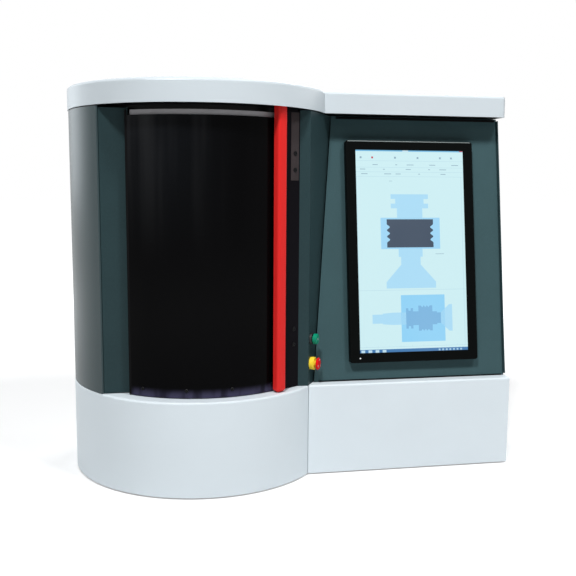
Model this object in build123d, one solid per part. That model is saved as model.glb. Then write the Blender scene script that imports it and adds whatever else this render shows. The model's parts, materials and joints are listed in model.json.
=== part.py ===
from build123d import *
import math
import os

# Optical shaft measuring machine. Millimetres, X to the right, Y to the back, Z up.
# The origin is the middle of the machine's footprint, on the surface that it stands on.

# Housing
drum_radius = 331.0        # round part of the base
drum_chord = 509.0         # flat front line that is cut across the drum
wing_length = 545.0        # straight part to the right of the seam
overall_depth = 640.0
foot_gap = 4.0             # from the surface to the lower edge of the base covers
base_height = 230.0
housing_height = 683.0
cover_height = 55.0
cover_lip = 1.0            # the top cover is this much larger than the base
wall_inset = 1.0           # the drum wall is this much smaller than the base
cover_setback = 86.0       # straight front of the top cover, behind the flat front line
sheet = 2.5
cover_wall = 3.0
deck_wall = 3.0
seam_gap = 1.5
shadow_gap = 2.0           # between the walls and the cover above them
rear_recess = 7.0
rear_space = 308.0         # from the spindle's axis to the back of the base
rear_half = 120.0          # the flat back reaches this far to the left of the drum axis
rim_round = 5.0
cover_round = 8.0
corner_round = 12.0
partition_reach = 350.0    # from the drum axis to the wall between drum and wing
vent_pitch = 16.0
vent_height = 6.0
fit_gap = 0.3              # between a moving surface and what guides it
running_fit = 0.05

# Leaning screen panel and monitor
panel_setback = 32.0
panel_tilt = 9.0
panel_gap = 3.5
panel_depth = 18.0
panel_round = 8.0          # bend at the panel's right edge
monitor_width = 348.0
monitor_height = 577.0
bezel_side = 24.5          # width of the bezel beside the display
bezel_edge = 23.0          # width of the bezel above and below the display
display_width = monitor_width - 2 * bezel_side
display_height = monitor_height - 2 * bezel_edge
bezel_front = 19.5         # how far the bezel stands out of the panel
bezel_thickness = 16.0
bezel_round = 7.0
glass_recess = 1.5
glass_thickness = 3.0
monitor_depth = 52.0
monitor_place = 288.0      # middle of the monitor, from the seam
monitor_rise = 335.0       # middle of the monitor, up the slope of the panel
monitor_border = 12.0      # the rear housing is this much smaller than the bezel

# Door, angles in degrees from the front about the drum axis
window_setback = 35.0      # the window's face behind the rim of the base
window_wall = 4.0
window_right = 37.0
window_left = 184.0        # distance of the window's left edge from the drum axis
window_bottom_gap = 2.0
leaf_clearance = 1.5       # between the side plate's lip and the housing wall
leaf_gap = 2.0
rail_depth = 27.0
rail_gap = 1.0             # between the window and the rails behind it
rail_height = 22.0
top_rail_height = 25.0
top_rail_shown = 12.0
top_slot = 12.0            # dark slot between the top rail and the cover
stile_thickness = 8.0
seal_width = 5.0
door_travel = 75.0
track_groove = 6.0
track_wall = 4.5
track_depth = 8.0
track_floor = 2.0
glide_angles = (-34.0, -10.0, 14.0, 34.0)
glide_span = 5.0
handle_angle = 33.4
handle_width = 28.0
handle_depth = 18.0
handle_proud = 25.0        # how far the handle stands out of the window
handle_round = 7.0
handle_end = 6.0           # chamfer round the handle's lower end
handle_raise = 1.2         # above the base
handle_into_cover = 9.0
spacer_count = 4
spacer_radius = 7.0

# Right front of the drum
facet_width = 26.4
facet_return = 16.0
cheek_angle = 60.2         # slope of the flat cheek, from the front line
cheek_length = 184.0
jamb_left_angle = 38.4
jamb_proud = 6.0           # the strip's left edge stands out of the window's face
jamb_thickness = 4.0
post_depth = 34.0

# Buttons on the cheek
button_place = 20.0        # along the cheek, from its front corner
start_height = 347.5
start_collar_radius = 14.5
start_collar_height = 5.0
start_cap_radius = 13.2
start_cap_height = 13.0
start_travel = 3.0
stop_height = 284.2
stop_collar_radius = 16.0
stop_collar_height = 12.0
stop_cap_radius = 15.3
stop_cap_height = 7.0
stop_neck_radius = 8.0
stop_neck_height = 4.5
stop_travel = 3.5
stop_well_floor = 4.0
button_barrel_radius = 11.0
button_barrel_length = 32.0
plunger_radius = 6.0

# Frame and bed
tube = 40.0
tube_wall = 3.0
frame_bottom = 24.0
frame_front_inset = 50.0   # middle of the front tube, behind the flat front line
frame_back_inset = 60.0    # middle of the rear tube, in front of the back
frame_reach = 0.75         # and at most this share of the drum's radius behind its axis
bed_gap = 16.0             # between the bed and the door's tracks
bed_wall_gap = 9.0         # between the bed and the seam or the rear posts, at least
bed_thickness = 40.0
bed_proud = 6.0            # bed top above the base deck
deck_hole_gap = 3.0
bed_span = 292.0           # between the posts that carry the bed, left to right
front_post_reach = 236.0   # front left post, from the drum axis
post_gap = 7.4             # between the rear left post and the drum's wall
seam_post_inset = 40.0     # middle posts, to the right of the seam
wing_post_inset = 55.0     # right posts, from the right side
wing_cross_inset = 345.0   # cross tube under the wing, from the right side
bed_post_front = 92.0      # posts under the bed, in front of the drum axis
bed_post_inset = 80.0      # rear ones, in front of the rear tube
isolator_height = 40.0
isolator_radius = 26.0
foot_radius = 25.0
angle_leg = 30.0
angle_wall = 3.0
roof_thickness = 3.0
handle_slot_gap = 2.0      # between the window and the slot in the roof plate

# Column and guides, in plan measured from the spindle's axis
column_front = 118.0
column_width = 150.0
column_depth = 90.0
column_height = 644.0
column_wall = 16.0
channel_width = 60.0
channel_depth = 30.0
column_foot = 24.0
rail_spread = 50.0
guide_width = 15.0
guide_height = 14.0
runner_height = 28.0
runner_width = 34.0
runner_length = 56.0

# Measuring fork
fork_rise = 100.0          # optical axis at rest, above the bed
fork_travel = 260.0
fork_gap = 140.0           # between the lens and the light unit
plate_thickness = 22.0
plate_height = 180.0
arm_inner = 118.0
arm_thickness = 22.0
arm_eye_radius = 73.0
lens_radius = 55.0
light_radius = 50.0
screw_radius = 8.0
journal_radius = 6.0
screw_offset = 14.0        # behind the column
motor_size = 56.0

# Headstock and tailstock
spindle_radius = 30.0
spindle_flange_radius = 44.0
spindle_flange = 12.5
spindle_bolt_circle = 66.0
spindle_bolt_radius = 2.75
spindle_bolt_depth = 9.0
headstock_height = 72.0
centre_tip_height = 105.0  # tip of the lower centre above the bed
centre_distance = 280.0    # between the tips at rest
quill_radius = 18.0
quill_travel = 20.0
pinion_radius = 14.0
live_shank_radius = 9.0
lever_length = 62.0

# Electrical parts, placed from the right and the back of the base
computer_width = 300.0
computer_height = 96.0
computer_inset = 60.0
supply_width = 160.0
supply_depth = 105.0
supply_height = 62.0
supply_inset = 265.0
case_seat = 5.0            # between the front or rear tube and the case beside it
case_gap = 40.0            # between the power supply and the computer
fan_inset = 130.0
fan_rise = 520.0           # above the base
inlet_inset = 120.0
inlet_rise = 70.0
fan_size = 120.0
fan_depth = 25.0
fan_bore = 57.0
fan_blades = 7
inlet_width = 48.0
inlet_height = 58.0
rocker_width = 20.0
rocker_height = 24.0

# Places that follow from the sizes
cover_radius = drum_radius + cover_lip
housing_radius = drum_radius - wall_inset
seam_x = (drum_chord / 2 + cover_radius - wing_length) / 2
wing_x = seam_x + wing_length
axis_x = seam_x - drum_chord / 2
back_y = overall_depth / 2
axis_y = cover_radius - back_y
unit_y = back_y - rear_space
chord_depth = math.sqrt(drum_radius ** 2 - (drum_chord / 2) ** 2)
front_y = axis_y - chord_depth
cover_front_y = front_y + cover_setback
base_top = foot_gap + base_height
cover_bottom = base_top + housing_height
top_z = cover_bottom + cover_height
wall_top = cover_bottom - shadow_gap
rear_y = back_y - rear_recess
facet_right = math.sqrt(housing_radius ** 2 - chord_depth ** 2)
partition_x = axis_x + partition_reach
tilt = math.radians(panel_tilt)
bed_top = base_top + bed_proud
bed_bottom = bed_top - bed_thickness
column_back = column_front + column_depth
column_top = bed_top + column_height
channel_floor = column_back - channel_depth
window_radius = drum_radius - window_setback
leaf_radius = housing_radius - sheet - leaf_clearance
rail_outer = window_radius - window_wall - rail_gap
rail_inner = rail_outer - rail_depth
handle_front = window_radius + handle_proud
jamb_left_radius = window_radius + jamb_proud
track_inner = rail_inner - 3.0
bed_radius = track_inner - bed_gap
frame_front = front_y + frame_front_inset
frame_back = min(back_y - frame_back_inset, axis_y + frame_reach * drum_radius)
post_corner = drum_radius - cover_wall - post_gap
back_post_reach = math.sqrt(post_corner ** 2 - (frame_back - axis_y + tube / 2) ** 2) - tube / 2
bed_front = axis_y - bed_post_front
bed_back = frame_back - bed_post_inset
fork_rest = bed_top + fork_rise
supply_back = frame_front + tube / 2 + case_seat + supply_depth
track_outer = track_inner + 2 * track_wall + track_groove
groove_inner = track_inner + track_wall
groove_outer = groove_inner + track_groove
door_low = base_top + track_depth + 1.0
door_high = cover_bottom - top_slot
roof_bottom = cover_bottom
at_axis = Pos(axis_x, axis_y, 0)
at_unit = Pos(axis_x, unit_y, 0)
cheek_direction = math.radians(cheek_angle)
cheek_plane = Plane(
    origin=(axis_x + facet_right, front_y, 0),
    x_dir=(math.cos(cheek_direction), math.sin(cheek_direction), 0),
    z_dir=(math.sin(cheek_direction), -math.cos(cheek_direction), 0),
)
panel_plane = Plane(
    origin=(seam_x, front_y + panel_setback, base_top),
    x_dir=(1, 0, 0),
    z_dir=(0, -math.cos(tilt), math.sin(tilt)),
)
monitor_plane = panel_plane * Pos(monitor_place, monitor_rise, 0)
lower_tip = bed_top + centre_tip_height
upper_tip = lower_tip + centre_distance
plate_front = column_back + runner_height
tail_plate_back = column_front - runner_height
screw_y = column_back + screw_offset


def box(x0, x1, y0, y1, z0, z1):
    """A block between three pairs of limits."""
    middle = Pos((x0 + x1) / 2, (y0 + y1) / 2, (z0 + z1) / 2)
    return middle * Box(x1 - x0, y1 - y0, z1 - z0)


def plan_box(x0, x1, y0, y1):
    """A flat rectangle between two pairs of limits."""
    return Pos((x0 + x1) / 2, (y0 + y1) / 2) * Rectangle(x1 - x0, y1 - y0)


def slab(plan, z0, z1):
    """A flat plan raised between two heights."""
    return Pos(0, 0, z0) * extrude(plan, z1 - z0, dir=(0, 0, 1))


def outline(*points):
    """A closed flat outline through the given points."""
    return Polygon(*points, align=None)


def lengthwise(x0, x1, *points):
    """A bar along X with the section through the given points of Y and Z."""
    return Pos(x0, 0, 0) * extrude(Plane.YZ * outline(*points), x1 - x0, dir=(1, 0, 0))


def turned(*points):
    """A piece turned about Z from its half section, given as radius and height."""
    return revolve(Plane.XZ * outline(*points), Axis.Z)


def rod(radius, z0, z1, x=0.0, y=0.0):
    """An upright round bar."""
    return Pos(x, y, (z0 + z1) / 2) * Cylinder(radius, z1 - z0)


def sector(inner, outer, z0, z1, left, right):
    """A curved bar about the drum axis, between two angles from the front."""
    section = Pos((inner + outer) / 2, (z0 + z1) / 2) * Rectangle(outer - inner, z1 - z0)
    swept = revolve(Plane.XZ * section, Axis.Z, revolution_arc=right - left)
    return at_axis * Rot(0, 0, left - 90) * swept


def around(radius, angle):
    """A point in plan at a radius and an angle from the front about the drum axis."""
    turn = math.radians(angle)
    return axis_x + radius * math.sin(turn), axis_y - radius * math.cos(turn)


def angle_at(distance, radius):
    """The angle from the front at which a radius reaches a sideways distance."""
    return math.degrees(math.asin(distance / radius))


def joined(pieces):
    """One shape from several that touch or overlap."""
    return pieces[0] + pieces[1:]


def rim_edges(solid):
    """The edges round the top face of a solid."""
    return solid.faces().sort_by(Axis.Z)[-1].outer_wire().edges()


def drum_plan(radius, back):
    """The drum's circle, with a shoulder to the left end of the flat back."""
    inset = cover_radius - radius
    shoulder = outline(
        (axis_x, axis_y), (axis_x, back), (axis_x - rear_half + inset, back), around(radius - sheet, -135)
    )
    return Pos(axis_x, axis_y) * Circle(radius) + shoulder


def round_plan(radius, right, back):
    """The round plan of the drum, cut flat at the back and squared up to the right."""
    corner = plan_box(axis_x, right, axis_y, back)
    limit = plan_box(axis_x - 2 * radius, right, axis_y - 2 * radius, back)
    return (drum_plan(radius, back) + corner) & limit


def cover_plan(inset):
    """The plan of the top cover, drawn in by an inset all round."""
    radius, back = cover_radius - inset, back_y - inset
    wing = plan_box(axis_x, wing_x - inset, cover_front_y + inset, back)
    limit = plan_box(axis_x - 2 * radius, wing_x, axis_y - radius, back)
    return (drum_plan(radius, back) + wing) & limit


# Base


def base_cover(plan, inner_plan):
    """A base cover: a tray turned over, its rim rounded except at the seam and under the right wall."""
    outer = slab(plan, foot_gap, base_top)
    inner_edges = [edge for edge in rim_edges(outer) if abs(edge.center().X - seam_x) > 2 * seam_gap]
    rim = [edge for edge in inner_edges if edge.center().X < wing_x - rim_round]
    cover = fillet(rim, rim_round) - slab(inner_plan, foot_gap, base_top - deck_wall)
    reach = tube / 2 + deck_hole_gap
    top = frame_bottom + tube + deck_hole_gap
    for y in (frame_front, frame_back):
        cover -= box(seam_x - tube, seam_x + tube, y - reach, y + reach, 0, top)
    return cover


def bed_plan(grow):
    """The round bed, cut flat where the seam or the rear posts come near."""
    right = seam_x - bed_wall_gap + grow
    back = rear_y - sheet - angle_leg - bed_wall_gap + grow
    limit = plan_box(axis_x - overall_depth, right, axis_y - overall_depth, back)
    return (Pos(axis_x, axis_y) * Circle(bed_radius + grow)) & limit


def drum_base_cover():
    edge = seam_x - seam_gap / 2
    outer = round_plan(drum_radius, edge, back_y)
    inner = round_plan(drum_radius - cover_wall, edge - cover_wall, back_y - cover_wall)
    hole = slab(bed_plan(deck_hole_gap), base_top - 2 * deck_wall, base_top + deck_wall)
    return base_cover(outer, inner) - hole


def wing_base_cover():
    edge = seam_x + seam_gap / 2
    outer = plan_box(edge, wing_x, front_y, back_y)
    inner = plan_box(edge + cover_wall, wing_x - cover_wall, front_y + cover_wall, back_y - cover_wall)
    return base_cover(outer, inner)


def frame_tube(x0, x1, y0, y1, z0, z1, along):
    """A square tube, open at its two ends."""
    w = tube_wall
    shrink = {"x": (0, w, w), "y": (w, 0, w), "z": (w, w, 0)}[along]
    sx, sy, sz = shrink
    inner = box(x0 + sx, x1 - sx, y0 + sy, y1 - sy, z0 + sz, z1 - sz)
    return box(x0, x1, y0, y1, z0, z1) - inner


middle_post = seam_x + seam_post_inset
wing_cross = wing_x - wing_cross_inset
wing_post = wing_x - wing_post_inset
cross_places = (axis_x - bed_span / 2, axis_x + bed_span / 2, wing_cross, wing_post)
front_posts = (axis_x - front_post_reach, middle_post, wing_cross, wing_post)
back_posts = (axis_x - back_post_reach, middle_post, wing_post)


def base_frame():
    """The ladder of square tubes that everything stands on."""
    half = tube / 2
    low, high = frame_bottom, frame_bottom + tube
    left_front, left_back = front_posts[0] - half, min(back_posts[0], cross_places[0]) - half
    right = cross_places[-1] + half
    pieces = [
        frame_tube(left_front, right, frame_front - half, frame_front + half, low, high, "x"),
        frame_tube(left_back, right, frame_back - half, frame_back + half, low, high, "x"),
    ]
    for x in cross_places:
        pieces.append(frame_tube(x - half, x + half, frame_front + half, frame_back - half, low, high, "y"))
    return joined(pieces)


def frame_posts():
    """The posts under the base deck, and the four capped ones that carry the bed."""
    half = tube / 2
    low, top = frame_bottom + tube, base_top - deck_wall
    posts = []
    for places, y in ((front_posts, frame_front), (back_posts, frame_back)):
        for x in places:
            posts.append(frame_tube(x - half, x + half, y - half, y + half, low, top, "z"))
    top = bed_bottom - isolator_height
    for x in cross_places[:2]:
        for y in (bed_front, bed_back):
            post = frame_tube(x - half, x + half, y - half, y + half, low, top, "z")
            posts.append(post + box(x - half, x + half, y - half, y + half, top - tube_wall, top))
    return posts


def levelling_feet():
    neck = foot_radius / 3
    foot = turned(
        (0, 0), (foot_radius, 0), (foot_radius, 9), (neck, 14), (neck, frame_bottom), (0, frame_bottom)
    )
    places = [(x, frame_front) for x in (front_posts[0], front_posts[1], front_posts[-1])]
    places += [(x, frame_back) for x in back_posts]
    return [Pos(x, y, 0) * foot for x, y in places]


def isolators():
    waist = isolator_radius - 4
    low, high = bed_bottom - isolator_height, bed_bottom
    mount = turned(
        (0, low), (isolator_radius, low), (isolator_radius, low + 6), (waist, low + 14),
        (waist, high - 14), (isolator_radius, high - 6), (isolator_radius, high), (0, high),
    )
    return [Pos(x, y, 0) * mount for x in cross_places[:2] for y in (bed_front, bed_back)]


def bed_plate():
    bed = slab(bed_plan(0), bed_bottom, bed_top)
    bed = chamfer(rim_edges(bed), 2.0)
    bed -= at_unit * rod(spindle_radius + 10, bed_bottom, bed_top)
    for side in (-1, 1):
        for row in range(3):
            slot = box(side * 120 - 7, side * 120 + 7, -110 + 70 * row, -66 + 70 * row, bed_top - 14, bed_top)
            bed -= at_unit * slot
    return bed


# Housing


def left_wall():
    """The curved wall, from the flat front line round to the rear panel."""
    outer = round_plan(housing_radius, partition_x, rear_y)
    inner = round_plan(housing_radius - sheet, partition_x, rear_y - sheet)
    left = plan_box(axis_x - overall_depth, axis_x - rear_half / 2, front_y, rear_y - sheet)
    return slab((outer - inner) & left, base_top, wall_top)


def right_cheek():
    """The right facet and the flat cheek beside it, folded from one sheet."""
    left = facet_right - facet_width
    facet = box(left, facet_right, -chord_depth, -chord_depth + sheet, base_top, wall_top)
    turn_back = box(left, left + sheet, -chord_depth, -chord_depth + facet_return, base_top, wall_top)
    wall = cheek_plane * box(0, cheek_length, base_top, wall_top, -sheet, 0)
    fold = cheek_plane * box(cheek_length - sheet, cheek_length, base_top, wall_top, -20, 0)
    cheek = joined([at_axis * facet, at_axis * turn_back, wall, fold])
    for height in (start_height, stop_height):
        cheek -= cheek_plane * Pos(button_place, height + foot_gap, 0) * Cylinder(button_barrel_radius, 12)
    return cheek


def leaning_block(front, back, side_gap, low, high):
    """A layer behind the screen panel's face, between two depths, cut parallel to the cheek."""
    foot = front_y + panel_setback - base_top * math.tan(tilt)
    near = foot + front / math.cos(tilt)
    far = foot + back / math.cos(tilt)
    rise = math.tan(tilt)
    block = lengthwise(
        seam_x, wing_x - side_gap,
        (near + low * rise, low), (far + low * rise, low),
        (far + high * rise, high), (near + high * rise, high),
    )
    corner = block.edges().group_by(Axis.X)[-1].group_by(SortBy.LENGTH)[-1].sort_by(Axis.Y)[0]
    block = fillet(corner, panel_round - side_gap)
    gap = panel_gap + side_gap
    return block - cheek_plane * box(-overall_depth, overall_depth, low, high, -wing_length, gap)


def screen_panel():
    """A shallow tray that leans back, with the opening for the monitor."""
    panel = leaning_block(0, panel_depth, 0, base_top, wall_top)
    panel -= leaning_block(sheet, panel_depth + 1, sheet, base_top + sheet, wall_top - sheet)
    width = monitor_width - 2 * monitor_border + 2 * fit_gap
    height = monitor_height - 2 * monitor_border + 2 * fit_gap
    return panel - monitor_plane * Box(width, height, 3 * panel_depth)


def wing_side_panel():
    """The right side: its front edge leans with the screen panel."""
    gap = panel_depth / math.cos(tilt) + fit_gap
    foot = front_y + panel_setback + gap
    head = foot + (wall_top - base_top) * math.tan(tilt)
    rear = rear_y - sheet
    panel = lengthwise(
        wing_x - sheet, wing_x,
        (foot, base_top), (rear, base_top), (rear, wall_top), (head, wall_top),
    )
    for row in range(9):
        height = base_top + 70 + vent_pitch * row
        panel -= box(
            wing_x - 2 * sheet, wing_x + sheet, back_y - 200, back_y - 90,
            height, height + vent_height,
        )
    return panel


def rear_panel_drum():
    plan = round_plan(housing_radius, partition_x, rear_y)
    back = plan_box(axis_x - overall_depth, partition_x, rear_y - sheet, rear_y)
    panel = slab(plan & back, base_top, wall_top)
    for row in range(6):
        height = wall_top - 150 + vent_pitch * row
        panel -= box(
            axis_x - 60, axis_x + 60, rear_y - 2 * sheet, rear_y + sheet, height, height + vent_height
        )
    return panel


fan_x, fan_z = wing_x - fan_inset, base_top + fan_rise
inlet_x, inlet_z = wing_x - inlet_inset, base_top + inlet_rise


def rear_panel_wing():
    panel = box(partition_x, wing_x, rear_y - sheet, rear_y, base_top, wall_top)
    for ring in range(1, 5):
        radius = fan_bore * ring / 4.4
        slot = Cylinder(radius, 4 * sheet) - Cylinder(radius - 7, 5 * sheet)
        spokes = Box(2 * radius, 8, 6 * sheet) + Box(8, 2 * radius, 6 * sheet)
        panel -= Pos(fan_x, rear_y, fan_z) * Rot(90, 0, 0) * (slot - spokes)
    for column in range(2):
        for row in range(9):
            left = partition_x + 50 + 90 * column
            height = base_top + 60 + vent_pitch * row
            panel -= box(left, left + 70, rear_y - 2 * sheet, rear_y + sheet, height, height + vent_height)
    opening = Box(inlet_width - 6, 6 * sheet, inlet_height - 3)
    return panel - Pos(inlet_x, rear_y, inlet_z) * opening


def partition_wall():
    front = front_y + panel_setback + (wall_top - base_top) * math.tan(tilt) + panel_depth + 6
    wall = box(partition_x - sheet, partition_x, front, rear_y - sheet, base_top, wall_top)
    for row in range(4):
        height = base_top + 120 + 130 * row
        wall -= box(
            partition_x - 2 * sheet, partition_x + sheet, back_y - 170, back_y - 110, height, height + 40
        )
    return wall


def uprights():
    """Four angle posts from the base deck to the roof plate."""
    right = wing_x - sheet
    rear = rear_y - sheet
    front = front_y + cover_setback + 100.0
    corners = (
        (right, rear, -1, -1), (right, front, -1, 1),
        (partition_x, rear, 1, -1), (axis_x - 110.0, rear, 1, -1),
    )
    posts = []
    for x, y, across, along in corners:
        near_x, far_x = x + across * angle_wall, x + across * angle_leg
        near_y, far_y = y + along * angle_wall, y + along * angle_leg
        leg = outline((x, y), (far_x, y), (far_x, near_y), (near_x, near_y), (near_x, far_y), (x, far_y))
        posts.append(slab(leg, base_top, roof_bottom))
    return posts


def roof_plate():
    """The plate under the top cover, with a curved slot in front for the door handle's path."""
    plate = slab(cover_plan(cover_wall + fit_gap), roof_bottom, roof_bottom + roof_thickness)
    return plate - sector(
        window_radius + handle_slot_gap, cover_radius, roof_bottom - 1, roof_bottom + roof_thickness + 1,
        -50, jamb_left_angle,
    )


def top_cover():
    outer = slab(cover_plan(0), cover_bottom, top_z)
    upright = [edge for edge in outer.edges().filter_by(Axis.Z) if edge.center().X > wing_x - 1]
    outer = fillet(upright, corner_round)
    outer = fillet(rim_edges(outer), cover_round)
    cover = outer - slab(cover_plan(cover_wall), cover_bottom, top_z - cover_wall)
    seat = cover_bottom + roof_thickness
    for x in (axis_x - 120.0, axis_x + 60.0, wing_x - 330.0, wing_x - 120.0):
        cover += box(x, x + cover_wall, cover_front_y + 40, back_y - 40, seat, top_z - cover_wall)
    return cover


def jamb_points(depth):
    """The dark strip beside the handle, in plan, and its inner face at a depth."""
    left = around(jamb_left_radius, jamb_left_angle)
    right = (axis_x + facet_right - facet_width, front_y)
    length = math.dist(left, right)
    along = ((right[0] - left[0]) / length, (right[1] - left[1]) / length)
    inward = (-along[1] * depth, along[0] * depth)
    inner = [(point[0] + inward[0], point[1] + inward[1]) for point in (right, left)]
    return left, right, *inner


def jamb_strip():
    plan = outline(*jamb_points(jamb_thickness))
    strip = slab(plan, base_top + window_bottom_gap, door_high + top_slot / 2)
    facet = at_axis * box(facet_right - facet_width, facet_right, -chord_depth, 0, base_top, wall_top)
    return strip - facet


def closing_post():
    """The folded post behind the strip, which carries the strip and the top track's end."""
    near = jamb_points(jamb_thickness)
    far = jamb_points(post_depth)
    outer = outline(near[3], near[2], far[2], far[3])
    post = slab(outer, base_top, roof_bottom) - slab(offset(outer, -sheet), base_top - 1, roof_bottom + 1)
    facet = at_axis * box(
        facet_right - facet_width, facet_right, -chord_depth, facet_return - chord_depth,
        base_top - 1, roof_bottom + 1,
    )
    return post - facet


# Door

window_start = -angle_at(window_left, window_radius)
leaf_half = math.sqrt(leaf_radius ** 2 - chord_depth ** 2)
track_left = -angle_at(leaf_half, leaf_radius) - door_travel - 3.0
door_right = window_right + 0.5


def track(z0, z1, opening_up):
    """A curved channel with a groove for the door's glides."""
    bar = sector(track_inner, track_outer, z0, z1, track_left, door_right + 0.5)
    low, high = (z0 + track_floor, z1 + 1) if opening_up else (z0 - 1, z1 - track_floor)
    return bar - sector(groove_inner, groove_outer, low, high, track_left - 1, door_right + 1)


def door_tracks():
    return [track(base_top, base_top + track_depth, True), track(door_high + 1.0, roof_bottom, False)]


def door_side_plate():
    """The flat left side of the door, folded forward at the window and back at its edge."""
    low, high = base_top + leaf_gap, door_high + top_slot / 2
    inner = -window_left
    plate = box(-leaf_half, inner, -chord_depth, -chord_depth + sheet, low, high)
    reach = math.sqrt(window_radius ** 2 - window_left ** 2)
    fold = box(inner, inner + sheet, -reach + window_wall, -chord_depth + sheet, low, high)
    edge = -angle_at(leaf_half, leaf_radius)
    lip = sector(leaf_radius - sheet, leaf_radius, low, high, edge - 7, edge)
    return joined([at_axis * plate, at_axis * fold, lip])


def door_frame():
    """The lower rail and the two stiles behind the window."""
    left = window_start + 1.0
    rail = sector(rail_inner, rail_outer, door_low, door_low + rail_height, left, door_right)
    top = door_high - top_rail_height
    stiles = []
    for start, end in ((left, left + 4.0), (30.5, door_right)):
        stiles.append(sector(rail_outer - stile_thickness, rail_outer, door_low, top, start, end))
    return joined([rail] + stiles)


def door_top_rail():
    left = window_start + 1.0
    return sector(rail_inner, rail_outer, door_high - top_rail_height, door_high, left, door_right)


def door_window():
    low, high = base_top + window_bottom_gap, door_high - top_rail_shown
    inner = window_radius - window_wall
    return sector(inner, window_radius, low, high, window_start, window_right)


def door_edge_seal():
    reach = math.sqrt(window_radius ** 2 - window_left ** 2)
    seal = plan_box(-window_left - seal_width, -window_left, -reach, -chord_depth)
    corner = seal.vertices().sort_by(Axis.X)[0:2].sort_by(Axis.Y)[0]
    return at_axis * slab(fillet(corner, 3.0), base_top + window_bottom_gap, door_high)


def door_handle():
    """A full-height bar with a rounded front, on four spacers that reach through the window."""
    low, high = base_top + handle_raise, cover_bottom + handle_into_cover
    bar = box(-handle_width / 2, handle_width / 2, -handle_front, -handle_front + handle_depth, low, high)
    front = bar.edges().filter_by(Axis.Z).group_by(Axis.Y)[0]
    bar = fillet(front, handle_round)
    bar = chamfer(bar.faces().sort_by(Axis.Z)[0].outer_wire().edges(), handle_end)
    pieces = [bar]
    back = handle_front - handle_depth
    for step in range(spacer_count):
        height = door_low + 60 + step * (door_high - door_low - 120) / (spacer_count - 1)
        spacer = Pos(0, -(back + window_radius) / 2, height) * Rot(90, 0, 0)
        pieces.append(spacer * Cylinder(spacer_radius, back - window_radius))
    return at_axis * Rot(0, 0, handle_angle) * joined(pieces)


def door_glides():
    glides = []
    inner, outer = groove_inner + fit_gap, groove_outer - fit_gap
    for angle in glide_angles:
        start, end = angle - glide_span / 2, angle + glide_span / 2
        glides.append(sector(inner, outer, base_top + track_floor + fit_gap, door_low, start, end))
        glides.append(sector(inner, outer, door_high, roof_bottom - track_floor - fit_gap, start, end))
    return glides


# Monitor


def monitor_bezel():
    outer = RectangleRounded(monitor_width, monitor_height, bezel_round)
    inner = Rectangle(display_width - 4, display_height - 4)
    back = bezel_front - bezel_thickness
    frame = extrude(Pos(0, 0, back) * outer, bezel_thickness)
    frame = chamfer(frame.faces().sort_by(Axis.Z)[-1].outer_wire().edges(), 1.2)
    frame -= extrude(Pos(0, 0, back) * inner, bezel_thickness)
    pocket = Rectangle(display_width + 2 * fit_gap, display_height + 2 * fit_gap)
    frame -= extrude(Pos(0, 0, back) * pocket, bezel_thickness - glass_recess)
    return monitor_plane * frame


def display_glass():
    front = bezel_front - glass_recess
    return monitor_plane * extrude(
        Pos(0, 0, front - glass_thickness) * Rectangle(display_width, display_height), glass_thickness
    )


def monitor_back():
    """The monitor's rear housing, with a raised middle and a row of vents."""
    width, height = monitor_width - 2 * monitor_border, monitor_height - 2 * monitor_border
    front = bezel_front - bezel_thickness
    back = bezel_front - monitor_depth
    shell = extrude(Pos(0, 0, back + 16) * RectangleRounded(width, height, bezel_round), front - back - 16)
    hump = extrude(Pos(0, 0, back) * RectangleRounded(width * 0.7, height * 0.6, 12), 17)
    tray = Rectangle(display_width, display_height)
    lip = extrude(Pos(0, 0, front) * tray, bezel_thickness - glass_recess - glass_thickness)
    housing = joined([shell, hump, lip])
    for column in range(10):
        slot = Pos(-99 + 22 * column, height / 2 - 60, back + 16) * Box(8, 50, 8)
        housing -= slot
    return monitor_plane * housing


# Buttons on the cheek


def button_plane(height):
    return cheek_plane * Pos(button_place, height + foot_gap, 0)


def start_collar():
    """The fixed collar with its threaded barrel behind the sheet."""
    bore = plunger_radius + fit_gap
    collar = turned(
        (bore, -button_barrel_length), (button_barrel_radius - fit_gap, -button_barrel_length),
        (button_barrel_radius - fit_gap, 0), (start_collar_radius, 0), (start_collar_radius, 3.5),
        (start_collar_radius - 1.0, start_collar_height), (bore, start_collar_height),
    )
    return button_plane(start_height) * collar


def start_cap():
    low = start_collar_height + start_travel + fit_gap
    high = low + start_cap_height - start_travel
    cap = turned(
        (0, -button_barrel_length + 6), (plunger_radius, -button_barrel_length + 6), (plunger_radius, low),
        (start_cap_radius, low), (start_cap_radius, high - 1.2), (start_cap_radius - 1.2, high), (0, high),
    )
    return button_plane(start_height) * cap


def stop_collar():
    bore = plunger_radius + fit_gap
    well = stop_neck_radius + 2.0
    collar = turned(
        (bore, -button_barrel_length), (button_barrel_radius - fit_gap, -button_barrel_length),
        (button_barrel_radius - fit_gap, 0), (stop_collar_radius, 0),
        (stop_collar_radius, stop_collar_height - 1.5), (stop_collar_radius - 1.5, stop_collar_height),
        (well, stop_collar_height), (well, stop_well_floor), (bore, stop_well_floor),
    )
    return button_plane(stop_height) * collar


def stop_stem():
    low, high = -button_barrel_length + 6, stop_collar_height + stop_neck_height
    neck = stop_well_floor + stop_travel + fit_gap
    stem = turned(
        (0, low), (plunger_radius, low), (plunger_radius, neck), (stop_neck_radius, neck),
        (stop_neck_radius, high), (4.0, high), (4.0, high + 5.0), (0, high + 5.0),
    )
    return button_plane(stop_height) * stem


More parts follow.
